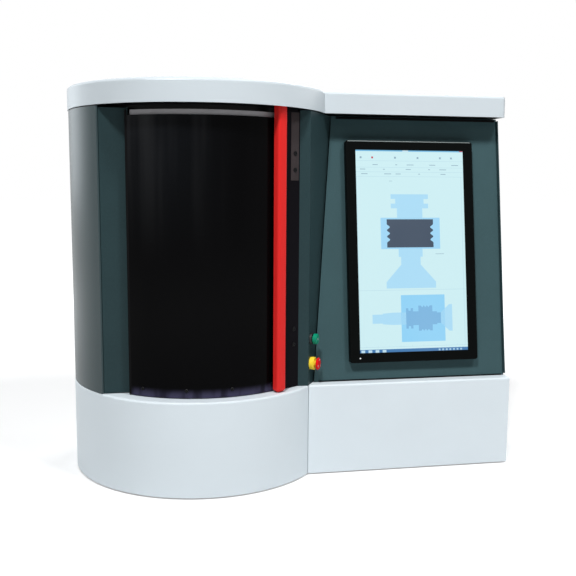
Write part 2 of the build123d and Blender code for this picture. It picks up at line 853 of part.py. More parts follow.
def stop_cap():
    """The red mushroom, which turns on the stem's spigot to let go."""
    low = stop_collar_height + stop_neck_height
    high = low + stop_cap_height
    bore = 4.0 + running_fit
    cap = turned(
        (bore, low), (stop_cap_radius - 2.0, low), (stop_cap_radius, low + 2.0),
        (stop_cap_radius, high - 3.0),
        (stop_cap_radius - 2.5, high - 0.8), (8.0, high), (0, high), (0, low + 5.0 + running_fit),
        (bore, low + 5.0 + running_fit),
    )
    return button_plane(stop_height) * cap


# Column, guides and measuring fork, in plan about the spindle's axis


def column():
    half = column_width / 2
    body = box(-half, half, column_front, column_back, bed_top, column_top)
    inner = half - column_wall
    body -= box(
        -inner, inner, column_front + column_wall, channel_floor - column_wall,
        bed_top, column_top - column_wall,
    )
    foot = box(-half - 35, half + 35, column_front - 20, column_back, bed_top, bed_top + column_foot)
    body += fillet(foot.edges().filter_by(Axis.Z), 15)
    channel = channel_width / 2
    body -= box(-channel, channel, channel_floor, column_back, bed_top, column_top)
    for row in range(5):
        height = bed_top + 70 + 112 * row
        for side in (-1, 1):
            pocket = box(-7, 7, column_front + 22, column_back - 22, height, height + 84)
            body -= Pos(side * half, 0, 0) * pocket
    return at_unit * body


def guide_section(grow):
    """Half of a profiled rail's section and its mirror, standing on the origin."""
    w, h = guide_width / 2 + grow, guide_height + grow
    waist = w - 2.5
    return outline(
        (-w, 0), (-w, 4 + grow), (-waist, 6.5 + grow), (-waist, 8 - grow), (-w, 10 - grow), (-w, h),
        (w, h), (w, 10 - grow), (waist, 8 - grow), (waist, 6.5 + grow), (w, 4 + grow), (w, 0),
    )


def guide_place(side, across):
    """Where a rail's section lies in plan: on the column's back or front."""
    if side > 0:
        return Pos(across, column_back, 0)
    return Pos(across, column_front, 0) * Rot(0, 0, 180)


def guide_rails():
    rails = []
    for side, low in ((-1, bed_top + column_foot), (1, bed_top + 6)):
        for across in (-rail_spread, rail_spread):
            bar = slab(guide_section(0), low, column_top - 8)
            rails.append(at_unit * guide_place(side, across) * bar)
    return rails


def runners(side, heights):
    """The blocks that run on a pair of rails."""
    half = runner_length / 2
    blocks = []
    for height in heights:
        for across in (-rail_spread, rail_spread):
            block = box(-runner_width / 2, runner_width / 2, 3, runner_height, height - half, height + half)
            block -= slab(guide_section(fit_gap), height - 2 * half, height + 2 * half)
            blocks.append(guide_place(side, across) * block)
    return blocks


def fork_plate():
    """The plate behind the column, with its runners and the nut of the ball screw."""
    half = plate_height / 2
    reach = arm_inner + arm_thickness
    plate = box(
        -reach, reach, plate_front, plate_front + plate_thickness, fork_rest - half, fork_rest + half
    )
    plate = fillet(plate.edges().filter_by(Axis.Y), 10)
    nut = box(-22, 22, screw_y - 16, plate_front, fork_rest - 20, fork_rest + 20)
    nut = fillet(nut.edges().filter_by(Axis.Z).group_by(Axis.Y)[0], 8)
    shape = joined([plate, nut] + runners(1, (fork_rest - 58, fork_rest + 58)))
    bore = rod(screw_radius + running_fit, fork_rest - half, fork_rest + half, 0, screw_y)
    return at_unit * (shape - bore)


def fork_arm(side, bore):
    """An arm from the plate forward to a clamping eye on the optical axis."""
    half = plate_height / 2
    eye = arm_eye_radius
    wide = arm_thickness / 2
    beam = lengthwise(
        -wide, wide, (0, eye), (140, half), (plate_front, half), (plate_front, -half), (140, -half), (0, -eye)
    )
    arm = beam + Rot(0, 90, 0) * Cylinder(eye, arm_thickness)
    arm -= Rot(0, 90, 0) * Cylinder(bore + running_fit, 2 * arm_thickness)
    for start, end, reach in ((92, 142, 42), (158, 214, 62)):
        window = Box(2 * arm_thickness, end - start, 2 * reach)
        arm -= Pos(0, (start + end) / 2, 0) * fillet(window.edges().filter_by(Axis.X), 10)
    return at_unit * Pos(side * (arm_inner + wide), 0, fork_rest) * arm


def left_arm():
    return fork_arm(-1, light_radius)


def right_arm():
    return fork_arm(1, lens_radius)


def along_x(side, *points):
    """A turned piece on the optical axis, from its section of radius and distance."""
    return at_unit * Pos(0, 0, fork_rest) * Rot(0, 90 * side, 0) * turned(*points)


def telecentric_lens():
    near = fork_gap / 2
    return along_x(
        1, (0, near + 8), (lens_radius - 5, near + 8), (lens_radius - 5, near), (lens_radius + 3, near),
        (lens_radius + 3, near + 16), (lens_radius, near + 16), (lens_radius, near + 86),
        (36, near + 136), (32, near + 138), (32, near + 160), (36, near + 160), (36, near + 168),
        (24, near + 168), (24, near + 172), (0, near + 172),
    )


def camera():
    near = fork_gap / 2 + 172
    body = box(near, near + 58, -29, 29, fork_rest - 29, fork_rest + 29)
    body = fillet(body.edges().filter_by(Axis.X), 4)
    for step in range(6):
        for side in (-1, 1):
            fin = box(near + 8 + 8 * step, near + 12 + 8 * step, -30, 30, -4, 4)
            body -= Pos(0, 0, fork_rest + side * 29) * fin
    plugs = [
        Pos(near + 62, y, fork_rest) * Rot(0, 90, 0) * Cylinder(8, 8) for y in (-12, 12)
    ]
    return at_unit * joined([body] + plugs)


def light_unit():
    """The parallel light source, with a finned cooler behind it."""
    near = fork_gap / 2
    points = [
        (0, near + 6), (light_radius - 5, near + 6), (light_radius - 5, near), (light_radius + 3, near),
        (light_radius + 3, near + 14), (light_radius, near + 14), (light_radius, near + 78),
    ]
    for fin in range(6):
        start = near + 84 + 10 * fin
        points += [(36, start - 6), (36, start), (48, start), (48, start + 4)]
    points += [(30, near + 138), (30, near + 148), (0, near + 148)]
    return along_x(-1, *points)


screw_low = bed_top + 6.0
screw_high = fork_rest + fork_travel + plate_height / 2 + 110.0


def ball_screw():
    return at_unit * Pos(0, screw_y, 0) * turned(
        (0, screw_low), (journal_radius, screw_low), (journal_radius, screw_low + 22),
        (screw_radius, screw_low + 22), (screw_radius, screw_high - 24), (journal_radius, screw_high - 24),
        (journal_radius, screw_high + 14), (0, screw_high + 14),
    )


def screw_supports():
    """The two bearing blocks in the column's channel, and the motor's seat."""
    bore = journal_radius + running_fit
    half = channel_width / 2 - fit_gap
    deep = channel_floor
    low = box(-half, half, deep, plate_front - 2, screw_low - 1, screw_low + 21.7)
    low -= rod(bore, screw_low - 2, screw_low + 30, 0, screw_y)
    high = box(-half, half, deep, plate_front - 2, screw_high - 23.7, screw_high)
    seat = box(-half, half, deep, screw_y + motor_size / 2, screw_high, screw_high + 6)
    high = high + seat - rod(bore, screw_high - 30, screw_high + 10, 0, screw_y)
    return [at_unit * low, at_unit * high]


def drive_motor():
    half = motor_size / 2
    low = screw_high + 6
    body = box(-half, half, screw_y - half, screw_y + half, low, low + 60)
    body = fillet(body.edges().filter_by(Axis.Z), 5)
    body -= box(-half, half, screw_y - half, screw_y + half, low + 20, low + 22) - box(
        -half + 1, half - 1, screw_y - half + 1, screw_y + half - 1, low + 20, low + 22)
    body -= rod(journal_radius + running_fit, low, low + 9, 0, screw_y)
    return at_unit * body


# Headstock and tailstock, in plan about the spindle's axis


def headstock():
    bore = spindle_radius + running_fit
    top = bed_top + headstock_height
    body = turned(
        (bore, bed_top), (75, bed_top), (75, bed_top + 12), (73, bed_top + 14), (62, bed_top + 14),
        (60, bed_top + 18), (60, top - 16), (50, top), (bore, top),
    )
    for number in range(6):
        place = Rot(0, 0, 60 * number) * Pos(68, 0, bed_top + 7)
        body -= place * Cylinder(3.5, 16)
    return at_unit * body


def spindle():
    """The spindle with its drive plate, its centre and a driving pin."""
    top = bed_top + headstock_height
    face = top + 0.5 + spindle_flange
    nose = face + 4
    cone = (lower_tip - nose) * math.tan(math.radians(30))
    body = turned(
        (0, bed_bottom - 50), (spindle_radius, bed_bottom - 50), (spindle_radius, top + 0.5),
        (spindle_flange_radius, top + 0.5), (spindle_flange_radius, face), (16, face), (16, nose),
        (cone, nose), (0, lower_tip),
    )
    for number in range(4):
        turn = math.radians(45 + 90 * number)
        x, y = spindle_bolt_circle / 2 * math.cos(turn), spindle_bolt_circle / 2 * math.sin(turn)
        body -= rod(spindle_bolt_radius, face - spindle_bolt_depth, face, x, y)
    return at_unit * (body + rod(4, face, face + 12, 24, 0))


def spindle_motor():
    bore = spindle_radius + running_fit
    return at_unit * turned(
        (bore, bed_bottom - 60), (50, bed_bottom - 60), (50, bed_bottom - 12), (66, bed_bottom - 12),
        (66, bed_bottom), (bore, bed_bottom),
    ) - at_unit * Pos(0, -50, bed_bottom - 36) * Box(40, 6, 24)


tail_low = upper_tip + 37.0     # lower end of the tailstock's barrel
tail_high = tail_low + 98.0
pinion_x = quill_radius + pinion_radius - 2.0
pinion_z = (tail_low + tail_high) / 2
tail_half = 48.0
tail_plate_thickness = 20.0
clamp_height = tail_low + 114.0
clamp_stud_radius = 4.0


def tailstock():
    """The slide on the front rails and its arm, with the barrel that holds the quill."""
    plate_front_y = tail_plate_back - tail_plate_thickness
    plate = box(-tail_half, tail_half, plate_front_y, tail_plate_back, tail_low - 6, tail_low + 134)
    plate = fillet(plate.edges().filter_by(Axis.Y), 8)
    arm = outline((-38, plate_front_y), (38, plate_front_y), (27, 0), (-27, 0))
    barrel = rod(32, tail_low, tail_high)
    middle = (tail_low + tail_high) / 2
    pieces = [plate, slab(arm, tail_low + 12, tail_high - 12), barrel]
    pieces += runners(-1, (tail_low + 28, tail_low + 100))
    pieces.append(Pos(pinion_x, -15, middle) * Rot(90, 0, 0) * Cylinder(15, 38))
    rib_start = quill_radius + 8
    pieces.append(lengthwise(
        -7, 7, (rib_start, tail_high - 14), (plate_front_y, tail_high - 14), (plate_front_y, tail_low + 128),
        (rib_start, tail_high),
    ))
    shape = joined(pieces)
    shape -= rod(quill_radius + running_fit, tail_low - 1, tail_high + 80)
    shape -= Pos(pinion_x, -20, middle) * Rot(90, 0, 0) * Cylinder(5 + running_fit, 60)
    stud_hole = Rot(0, 90, 0) * Cylinder(clamp_stud_radius + running_fit, 24)
    shape -= Pos(tail_half, plate_front_y + tail_plate_thickness / 2, clamp_height) * stud_hole
    return at_unit * shape


def quill():
    """The quill, with the flat that clears the pinion shaft and the bore for the live centre."""
    low = upper_tip + 27.3
    body = turned(
        (live_shank_radius + running_fit, low), (quill_radius, low), (quill_radius, tail_high + 12),
        (quill_radius + 3, tail_high + 12), (quill_radius + 3, tail_high + 18),
        (0, tail_high + 18), (0, low + 38), (live_shank_radius + running_fit, low + 38),
    )
    flat = box(
        quill_radius - 2.5, quill_radius + 5, -30, 30,
        pinion_z - pinion_radius - quill_travel, pinion_z + pinion_radius,
    )
    return at_unit * (body - flat)


def live_centre():
    shoulder = upper_tip + 27.0
    cone = 12 / math.tan(math.radians(30))
    return at_unit * turned(
        (0, upper_tip), (12, upper_tip + cone), (14, upper_tip + cone), (14, shoulder),
        (live_shank_radius, shoulder), (live_shank_radius, shoulder + 37), (0, shoulder + 37),
    )


def quill_lever():
    """The lever that lifts the quill: shaft, hub, arm and ball."""
    shaft = Pos(0, -37, 0) * Rot(90, 0, 0) * Cylinder(5, 70)
    hub = Pos(0, -72, 0) * Rot(90, 0, 0) * Cylinder(10, 14)
    arm = Pos(0, -72, -lever_length / 2) * Cylinder(3.5, lever_length)
    ball = Pos(0, -72, -lever_length) * Sphere(9)
    return at_unit * Pos(pinion_x, 0, pinion_z) * Rot(0, 45, 0) * joined([shaft, hub, arm, ball])


def clamp_lever():
    """The lever that locks the tailstock on its rails, with its stud in the slide."""
    hub = Pos(tail_half + 5.4, 0, 0) * Rot(0, 90, 0) * Cylinder(8, 10)
    stud = Pos(tail_half - 4, 0, 0) * Rot(0, 90, 0) * Cylinder(clamp_stud_radius, 12)
    arm = Pos(tail_half + 7, -22, 0) * Rot(90, 0, 0) * Cylinder(3.5, 44)
    grip = Pos(tail_half + 7, -48, 0) * Rot(90, 0, 0) * Cylinder(6, 14)
    place = Pos(0, tail_plate_back - tail_plate_thickness / 2, clamp_height)
    return at_unit * place * joined([hub, stud, arm, grip])


# Electrical parts


def computer():
    """A closed case with cooling fins along its top, on the frame under the wing."""
    low, back, front = frame_bottom + tube, frame_back - tube / 2 - case_seat, supply_back + case_gap
    right, top = wing_x - computer_inset, low + computer_height
    left = right - computer_width
    case = box(left, right, front, back, low, top)
    case = fillet(case.edges().filter_by(Axis.Z), 3)
    for fin in range(int((back - front) / 16) - 1):
        y = front + 14 + 16 * fin
        case -= box(left + 10, right - 10, y, y + 8, top - 12, top + 1)
    return case


def power_supply():
    """A flat case with slots in its top, on the front tube and the cross tube."""
    low, front = frame_bottom + tube, supply_back - supply_depth
    right = wing_x - supply_inset
    left, top = right - supply_width, low + supply_height
    case = box(left, right, front, supply_back, low, top)
    for row in range(int(supply_depth / 12)):
        y = front + 10 + 12 * row
        case -= box(left + 10, right - 60, y, y + 5, top - 3, top + 1)
    return case


def fan_place():
    return Pos(fan_x, rear_y - sheet - fan_depth / 2, fan_z) * Rot(90, 0, 0)


def fan_frame():
    """A square frame with a round duct and four struts to its hub, on the rear side."""
    body = RectangleRounded(fan_size, fan_size, 6) - Circle(fan_bore)
    for x in (-52.5, 52.5):
        for y in (-52.5, 52.5):
            body -= Pos(x, y) * Circle(2.2)
    frame = Pos(0, 0, -fan_depth / 2) * extrude(body, fan_depth)
    hub = Pos(0, 0, fan_depth / 2 - 3) * Cylinder(20, 6)
    struts = [
        Rot(0, 0, 45 + 90 * number) * Pos(38, 0, fan_depth / 2 - 2) * Box(40, 5, 4) for number in range(4)
    ]
    pin = Pos(0, 0, -1) * Cylinder(4, fan_depth - 7)
    return fan_place() * joined([frame, hub] + struts + [pin])


def fan_impeller():
    """Seven pitched blades on a cupped hub."""
    length = fan_depth - 9
    hub = Pos(0, 0, -3.5) * Cylinder(20, length)
    pieces = [hub]
    for number in range(fan_blades):
        blade = Pos(36, 0, -3.5) * Rot(38, 0, 0) * Box(38, 17, 1.6)
        pieces.append(Rot(0, 0, 360 / fan_blades * number) * blade)
    limit = Cylinder(fan_bore - 2, length)
    rotor = joined(pieces) & (Pos(0, 0, -3.5) * limit)
    return fan_place() * (rotor - Pos(0, 0, -2) * Cylinder(4 + running_fit, fan_depth))


rocker_rise = 13.0
rocker_axle = 1.5
rocker_axle_y = rear_y - 2.0


def power_inlet():
    """A recessed mains inlet with three pins, and the frame and axle of the rocker."""
    flange = Box(inlet_width, 2, inlet_height)
    body = Pos(0, -13, 0) * Box(inlet_width - 7, 24, inlet_height - 4)
    socket = Pos(0, -5, -13) * Box(25, 16, 17)
    opening = Pos(0, -5, rocker_rise) * Box(rocker_width + 1, 16, rocker_height)
    pins = [Pos(x, -7, z) * Box(2, 14, 4) for x, z in ((-7, -15), (0, -10), (7, -15))]
    axle = Rot(0, 90, 0) * Cylinder(rocker_axle, rocker_width + 4)
    axle = Pos(0, rocker_axle_y - rear_y - 1, rocker_rise) * axle
    shape = flange + body - socket - opening
    return Pos(inlet_x, rear_y + 1, inlet_z) * joined([shape, axle] + pins)


def power_rocker():
    """The rocker, a wedge that tips on the axle across its middle."""
    half = rocker_height / 2 - 2.5
    wedge = lengthwise(
        -rocker_width / 2, rocker_width / 2,
        (5.5, -half), (3.8, 0), (3.2, half), (0, half), (-5, 4), (-5, -4), (0, -half),
    )
    wedge -= Rot(0, 90, 0) * Cylinder(rocker_axle + running_fit, 2 * rocker_width)
    return Pos(inlet_x, rocker_axle_y, inlet_z + rocker_rise) * wedge


NODES = (
    levelling_feet, base_frame, frame_posts, drum_base_cover, wing_base_cover, isolators, bed_plate,
    left_wall, right_cheek, screen_panel, wing_side_panel, rear_panel_drum, rear_panel_wing,
    partition_wall, uprights, roof_plate, top_cover, jamb_strip, closing_post,
    door_tracks, door_side_plate, door_frame, door_top_rail, door_window,
    door_edge_seal, door_handle, door_glides, monitor_bezel, display_glass, monitor_back,
    start_collar, start_cap, stop_collar, stop_stem, stop_cap, column, guide_rails, fork_plate,
    left_arm, right_arm, telecentric_lens, camera, light_unit, ball_screw, screw_supports, drive_motor,
    headstock, spindle, spindle_motor, tailstock, quill, live_centre, quill_lever, clamp_lever,
    computer, power_supply, fan_frame, fan_impeller, power_inlet, power_rocker,
)

os.makedirs("parts", exist_ok=True)
for node in NODES:
    shape = node()
    if isinstance(shape, list):
        shape = Compound(children=shape)
    export_step(shape, f"parts/{node.__name__}.step")
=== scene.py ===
import json
import math

import bmesh
import bpy
from bpy.props import FloatProperty, FloatVectorProperty, PointerProperty
from mathutils import Matrix, Vector


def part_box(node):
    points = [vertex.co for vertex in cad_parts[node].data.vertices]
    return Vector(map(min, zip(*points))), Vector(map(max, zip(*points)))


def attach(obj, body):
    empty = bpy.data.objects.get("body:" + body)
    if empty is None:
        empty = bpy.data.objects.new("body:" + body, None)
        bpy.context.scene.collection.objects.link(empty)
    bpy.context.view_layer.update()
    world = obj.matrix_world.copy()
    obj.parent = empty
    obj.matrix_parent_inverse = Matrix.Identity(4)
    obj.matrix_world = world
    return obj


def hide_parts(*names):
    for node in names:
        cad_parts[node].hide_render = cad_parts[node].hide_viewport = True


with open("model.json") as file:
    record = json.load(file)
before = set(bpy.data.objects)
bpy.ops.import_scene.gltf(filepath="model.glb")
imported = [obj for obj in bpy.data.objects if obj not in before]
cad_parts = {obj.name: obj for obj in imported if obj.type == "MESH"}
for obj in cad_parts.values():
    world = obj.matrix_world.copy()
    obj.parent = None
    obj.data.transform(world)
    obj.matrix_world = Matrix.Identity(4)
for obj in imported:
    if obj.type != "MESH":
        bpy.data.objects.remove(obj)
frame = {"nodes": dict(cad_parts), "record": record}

bl_info = {
    "name": "Optical shaft measuring machine",
    "version": (1, 0, 0),
    "blender": (4, 5, 0),
    "location": "3D View > Sidebar > Shaft machine",
    "description": "Finishes, fittings and studio of an optical shaft measuring machine",
    "category": "Object",
}

MM = 0.001
UP, FRONT = Vector((0, 0, 1)), Vector((0, -1, 0))
BACK, RIGHT = Vector((0, 1, 0)), Vector((1, 0, 0))


def tone(red, green, blue):
    """A colour as shown on a screen, 0 to 255, turned into linear values."""
    linear = []
    for level in (red / 255, green / 255, blue / 255):
        linear.append(level / 12.92 if level < 0.04045 else ((level + 0.055) / 1.055) ** 2.4)
    return tuple(linear)


def shade(colour, factor):
    """The same colour, lighter or darker."""
    return tuple(min(1.0, level * factor) for level in colour[:3])


def corners(node):
    """The points of a node's mesh."""
    return [vertex.co for vertex in frame["nodes"][node].data.vertices]


def reach(node, direction):
    """How far a node of the frame extends along a direction."""
    return max(direction.dot(point) for point in corners(node))


def middle(node):
    """The middle of a node's box."""
    low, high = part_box(node)
    return (low + high) / 2


def forwards(turn):
    """A level direction, turned from straight ahead to the right."""
    return Vector((math.sin(turn), -math.cos(turn), 0))


# Places that follow from the frame, in metres

AXIS = middle("spindle")
PANEL_TILT = math.radians(9.0)
PANEL_OUT = Vector((0, -math.cos(PANEL_TILT), math.sin(PANEL_TILT)))
CHEEK_OUT = forwards(math.radians(60.2))
STRIP_OUT = forwards(math.radians(32.6))
WINDOW_RADIUS = 296.0 * MM


def facing(origin, out):
    """A place whose Z points out of a surface and whose Y points as nearly up as it can."""
    z = Vector(out).normalized()
    x = UP.cross(z).normalized() if abs(z.dot(UP)) < 0.999 else RIGHT
    y = z.cross(x)
    turn = Matrix((x, y, z)).transposed().to_4x4()
    return Matrix.Translation(origin) @ turn


def face_of(node, out, over=None):
    """The place on a node's outermost face in a direction, over the node's middle or another point."""
    point = middle(node) if over is None else over
    return facing(point + out * (reach(node, out) - point.dot(out)), out)


def window_point(angle, height):
    """A point on the curved window, at an angle from the front, and its direction outwards."""
    out = forwards(angle)
    return Vector((AXIS.x, AXIS.y, height)) + WINDOW_RADIUS * out, out


def around(radius, turn):
    """The X and Y of a point on a circle."""
    return radius * math.cos(turn), radius * math.sin(turn)


def metres(pairs):
    """Pairs of sizes in millimetres, turned into metres."""
    return [(first * MM, second * MM) for first, second in pairs]


# Settings that a user would change


class HousingSettings(bpy.types.PropertyGroup):
    white: FloatVectorProperty(
        name="Covers", description="Paint of the base and top covers",
        subtype="COLOR", default=tone(217, 227, 233))
    slate: FloatVectorProperty(
        name="Walls", description="Structured paint of the walls and the screen panel",
        subtype="COLOR", default=tone(58, 81, 85))
    handle: FloatVectorProperty(
        name="Handle", description="Paint of the door handle",
        subtype="COLOR", default=tone(224, 42, 40))
    peel: FloatProperty(
        name="Paint grain", description="Size of the grain in the structured paint",
        unit="LENGTH", default=1.1 * MM)
    screw_radius: FloatProperty(
        name="Panel screw radius", description="Radius of the screw heads on the panels",
        unit="LENGTH", default=3.6 * MM)
    screw_pitch: FloatProperty(
        name="Panel screw pitch", description="Longest distance between two panel screws",
        unit="LENGTH", default=150.0 * MM)


class ScreenSettings(bpy.types.PropertyGroup):
    paper: FloatVectorProperty(
        name="Paper", description="Ground of the picture on the screen",
        subtype="COLOR", default=tone(205, 238, 243))
    part: FloatVectorProperty(
        name="Workpiece", description="Silhouette of the measured shaft",
        subtype="COLOR", default=tone(170, 220, 246))
    bar: FloatVectorProperty(
        name="Bars", description="Title bar and task bar",
        subtype="COLOR", default=tone(44, 112, 172))
    level: FloatProperty(
        name="Brightness", description="Light given off by the picture", default=0.86)


class StageSettings(bpy.types.PropertyGroup):
    lens: FloatProperty(name="Lens", description="Focal length of the camera in millimetres", default=50.02)
    place: FloatVectorProperty(
        name="Camera place", description="Where the camera stands", unit="LENGTH",
        default=(-0.39912, -2.12691, 0.74014))
    yaw: FloatProperty(
        name="Camera yaw", description="Turn of the camera to the left", unit="ROTATION",
        default=math.radians(-10.73))
    pitch: FloatProperty(
        name="Camera pitch", description="How far the camera looks down", unit="ROTATION",
        default=math.radians(7.45))
    roll: FloatProperty(
        name="Camera roll", description="Turn of the camera about its view", unit="ROTATION",
        default=math.radians(0.41))
    floor: FloatProperty(
        name="Floor", description="Width of the floor", unit="LENGTH", default=60.0)
    sky: FloatProperty(name="Soft light", description="Level of the light from all round", default=0.06)
    key: FloatProperty(name="Key lamp", description="Power of the lamp high at the left", default=190.0)
    fill: FloatProperty(name="Fill lamp", description="Power of the lamp high at the right", default=112.0)
    low: FloatProperty(name="Low lamp", description="Power of the low lamp at the right", default=26.0)
    rim: FloatProperty(
        name="Rim lamp", description="Power of the large lamp behind the left side", default=31.0)
    rear: FloatProperty(
        name="Rear lamp", description="Power of the large lamp behind the right side", default=60.0)


# Node trees as expressions


class Wire:
    """A node's output that takes part in Python arithmetic."""

    def __init__(self, graph, socket):
        self.graph = graph
        self.socket = socket

    def pick(self, name):
        """Another output of the same node."""
        return Wire(self.graph, self.socket.node.outputs[name])

    def _operator(operation, turned=False):
        """A Python operator that makes a maths node."""
        def work(self, other):
            first, second = (other, self) if turned else (self, other)
            return self.graph.node("ShaderNodeMath", {0: first, 1: second}, operation=operation)
        return work

    __add__ = __radd__ = _operator("ADD")
    __mul__ = __rmul__ = _operator("MULTIPLY")
    __sub__, __rsub__ = _operator("SUBTRACT"), _operator("SUBTRACT", True)
    __truediv__ = _operator("DIVIDE")


class Graph:
    """A node tree whose nodes all come from one method."""

    def __init__(self, tree):
        self.tree = tree

    def node(self, kind, values=None, output=0, **settings):
        """A node of a type, with its settings, then the values or links of its sockets."""
        added = self.tree.nodes.new(kind)
        for name, setting in settings.items():
            setattr(added, name, setting)
        for name, value in (values or {}).items():
            self.feed(added.inputs[name], value)
        return Wire(self, added.outputs[output])

    def feed(self, socket, value):
        """Links a wire to a socket, or sets the socket to a plain value."""
        if isinstance(value, Wire):
            self.tree.links.new(value.socket, socket)
        else:
            socket.default_value = value

    def limited(self, value):
        """A value kept between 0 and 1."""
        return self.node("ShaderNodeClamp", {"Value": value})

    def step(self, value, low, high):
        """0 below one level, 1 above another, and smooth in between."""
        values = {"Value": value, "From Min": low, "From Max": high}
        return self.node("ShaderNodeMapRange", values, interpolation_type="SMOOTHSTEP")


class Finish(Graph):
    """A material on one shader, with patterns on object coordinates."""

    def __init__(self, name, constants):
        self.material = bpy.data.materials.new(name)
        self.material.use_nodes = True
        super().__init__(self.material.node_tree)
        self.shader = self.tree.nodes["Principled BSDF"]
        self.place = self.node("ShaderNodeTexCoord", output="Object")
        for key, value in constants.items():
            self.shader.inputs[key].default_value = value

    def set(self, name, value):
        """Sets or links an input of the shader."""
        self.feed(self.shader.inputs[name], value)

    def stretched(self, x, y, z):
        """Object coordinates, pulled so that a pattern runs along one direction."""
        return self.node("ShaderNodeMapping", {"Vector": self.place, "Scale": (x, y, z)})

    def noise(self, scale, detail=2.0, vector=None):
        """Soft noise, on the object coordinates unless told otherwise."""
        values = {"Vector": vector or self.place, "Scale": scale, "Detail": detail}
        return self.node("ShaderNodeTexNoise", values)

    def mix(self, factor, first, second):
        """A colour between two others. The node's colours are its inputs 6 and 7 and its output 2."""
        ends = [end if isinstance(end, Wire) else (*end[:3], 1.0) for end in (first, second)]
        values = {"Factor": factor, 6: ends[0], 7: ends[1]}
        return self.node("ShaderNodeMix", values, 2, data_type="RGBA")

    def raised(self, height, distance, strength=1.0):
        """Small relief that a height gives the surface."""
        values = {"Height": height, "Distance": distance, "Strength": strength}
        self.set("Normal", self.node("ShaderNodeBump", values))


# Finishes: those named after a slot of the record, and those of single pieces

MAKERS = {}


def coat(maker):
    """Lists a finish under the name of its function."""
    MAKERS[maker.__name__] = maker
    return maker


def finish(slot, own=None):
    """The material of a slot, or a piece's own one, made the first time that it is asked for."""
    name = own or slot + "_finish"
    return bpy.data.materials.get(name) or MAKERS[own or slot](name)


def white_shade(name, factor):
    """The covers' smooth powder coat with a faint orange peel, lighter or darker; a darker copy paints shade
    onto the top cover.
    """
    white = shade(bpy.context.scene.shaft_housing.white, factor)
    paint = Finish(name, {"Specular IOR Level": 0.35})
    patches = paint.noise(7.0, 3.0)
    peel = paint.noise(520.0, 1.5)
    paint.set("Base Color", paint.mix(patches, shade(white, 0.97), shade(white, 1.02)))
    paint.set("Roughness", 0.34 + 0.1 * patches)
    paint.raised(peel, 0.05 * MM, 0.5)
    return paint.material


@coat
def white_paint(name):
    return white_shade(name, 1.035)


def structured_paint(name, colour, depth, shine):
    """Powder coat with a fine structure, as on machine housings."""
    settings = bpy.context.scene.shaft_housing
    paint = Finish(name, {"Specular IOR Level": shine})
    grain = paint.noise(1.0 / settings.peel, 3.0)
    patches = paint.noise(11.0, 2.0)
    fleck = paint.step(grain, 0.44, 0.66)
    body = paint.mix(patches, shade(colour, 0.9), shade(colour, 1.1))
    paint.set("Base Color", paint.mix(0.4 * fleck, body, shade(colour, 1.6)))
    paint.set("Roughness", 0.28 + 0.14 * grain)
    paint.raised(grain, depth, 0.6)
    return paint.material


def slate_shade(name, factor, shine):
    """The walls' structured paint, lighter or darker, and more or less glossy; the darker copies paint shade
    onto single walls and edges.
    """
    colour = shade(bpy.context.scene.shaft_housing.slate, factor)
    return structured_paint(name, colour, 0.16 * MM, shine)


@coat
def slate_paint(name):
    return slate_shade(name, 1.05, 0.07)


@coat
def dark_paint(name):
    return structured_paint(name, tone(12, 10, 15), 0.08 * MM, 0.03)


@coat
def frame_paint(name):
    return structured_paint(name, tone(150, 155, 158), 0.1 * MM, 0.5)


@coat
def grey_casting(name):
    return structured_paint(name, tone(176, 184, 188), 0.22 * MM, 0.5)


@coat
def zinc_sheet(name):
    """Galvanised sheet with its spangle."""
    sheet = Finish(name, {"Metallic": 0.9})
    values = {"Vector": sheet.place, "Scale": 130.0}
    spangle = sheet.node("ShaderNodeTexVoronoi", values, "Color", feature="F1")
    brightness = sheet.node("ShaderNodeSeparateColor", {"Color": spangle}, "Red")
    sheet.set("Base Color", sheet.mix(brightness, tone(150, 156, 162), tone(192, 197, 201)))
    sheet.set("Roughness", 0.3 + 0.18 * brightness)
    return sheet.material


def brushed_metal(name, colour, roughness, along=(1.0, 1.0, 1.0), metallic=1.0, shine=0.5):
    """Metal whose fine scratches run along one direction."""
    metal = Finish(name, {"Metallic": metallic, "Specular IOR Level": shine})
    scratches = metal.noise(900.0, 2.0, metal.stretched(*along))
    cloud = metal.noise(14.0, 2.0)
    metal.set("Base Color", metal.mix(scratches, shade(colour, 0.86), shade(colour, 1.08)))
    metal.set("Roughness", roughness + 0.12 * cloud + 0.1 * scratches)
    metal.raised(scratches, 0.02 * MM, 0.4)
    return metal.material


@coat
def grey_aluminium(name):
    return brushed_metal(name, tone(150, 149, 152), 0.46, (0.08, 0.08, 1.0), 0.35)


@coat
def bright_aluminium(name):
    return brushed_metal(name, tone(196, 199, 203), 0.32, (1.0, 0.06, 1.0))


@coat
def hard_steel(name):
    return brushed_metal(name, tone(188, 190, 193), 0.2, (1.0, 1.0, 0.05))


@coat
def cast_iron(name):
    return brushed_metal(name, tone(122, 126, 128), 0.34, (0.06, 1.0, 1.0), 0.85)


@coat
def black_aluminium(name):
    return brushed_metal(name, tone(38, 38, 42), 0.36, (1.0, 1.0, 1.0), 0.5)


@coat
def black_metal(name):
    return structured_paint(name, tone(13, 13, 15), 0.05 * MM, 0.12)


@coat
def red_paint(name):
    """Satin enamel on the handle."""
    colour = bpy.context.scene.shaft_housing.handle
    paint = Finish(name, {"Specular IOR Level": 0.12})
    patches = paint.noise(6.0, 2.0, paint.stretched(1.0, 1.0, 0.4))
    paint.set("Base Color", paint.mix(patches, shade(colour, 0.95), shade(colour, 1.05)))
    paint.set("Roughness", 0.34 + 0.08 * patches)
    paint.raised(paint.noise(380.0, 1.0), 0.03 * MM, 0.4)
    return paint.material


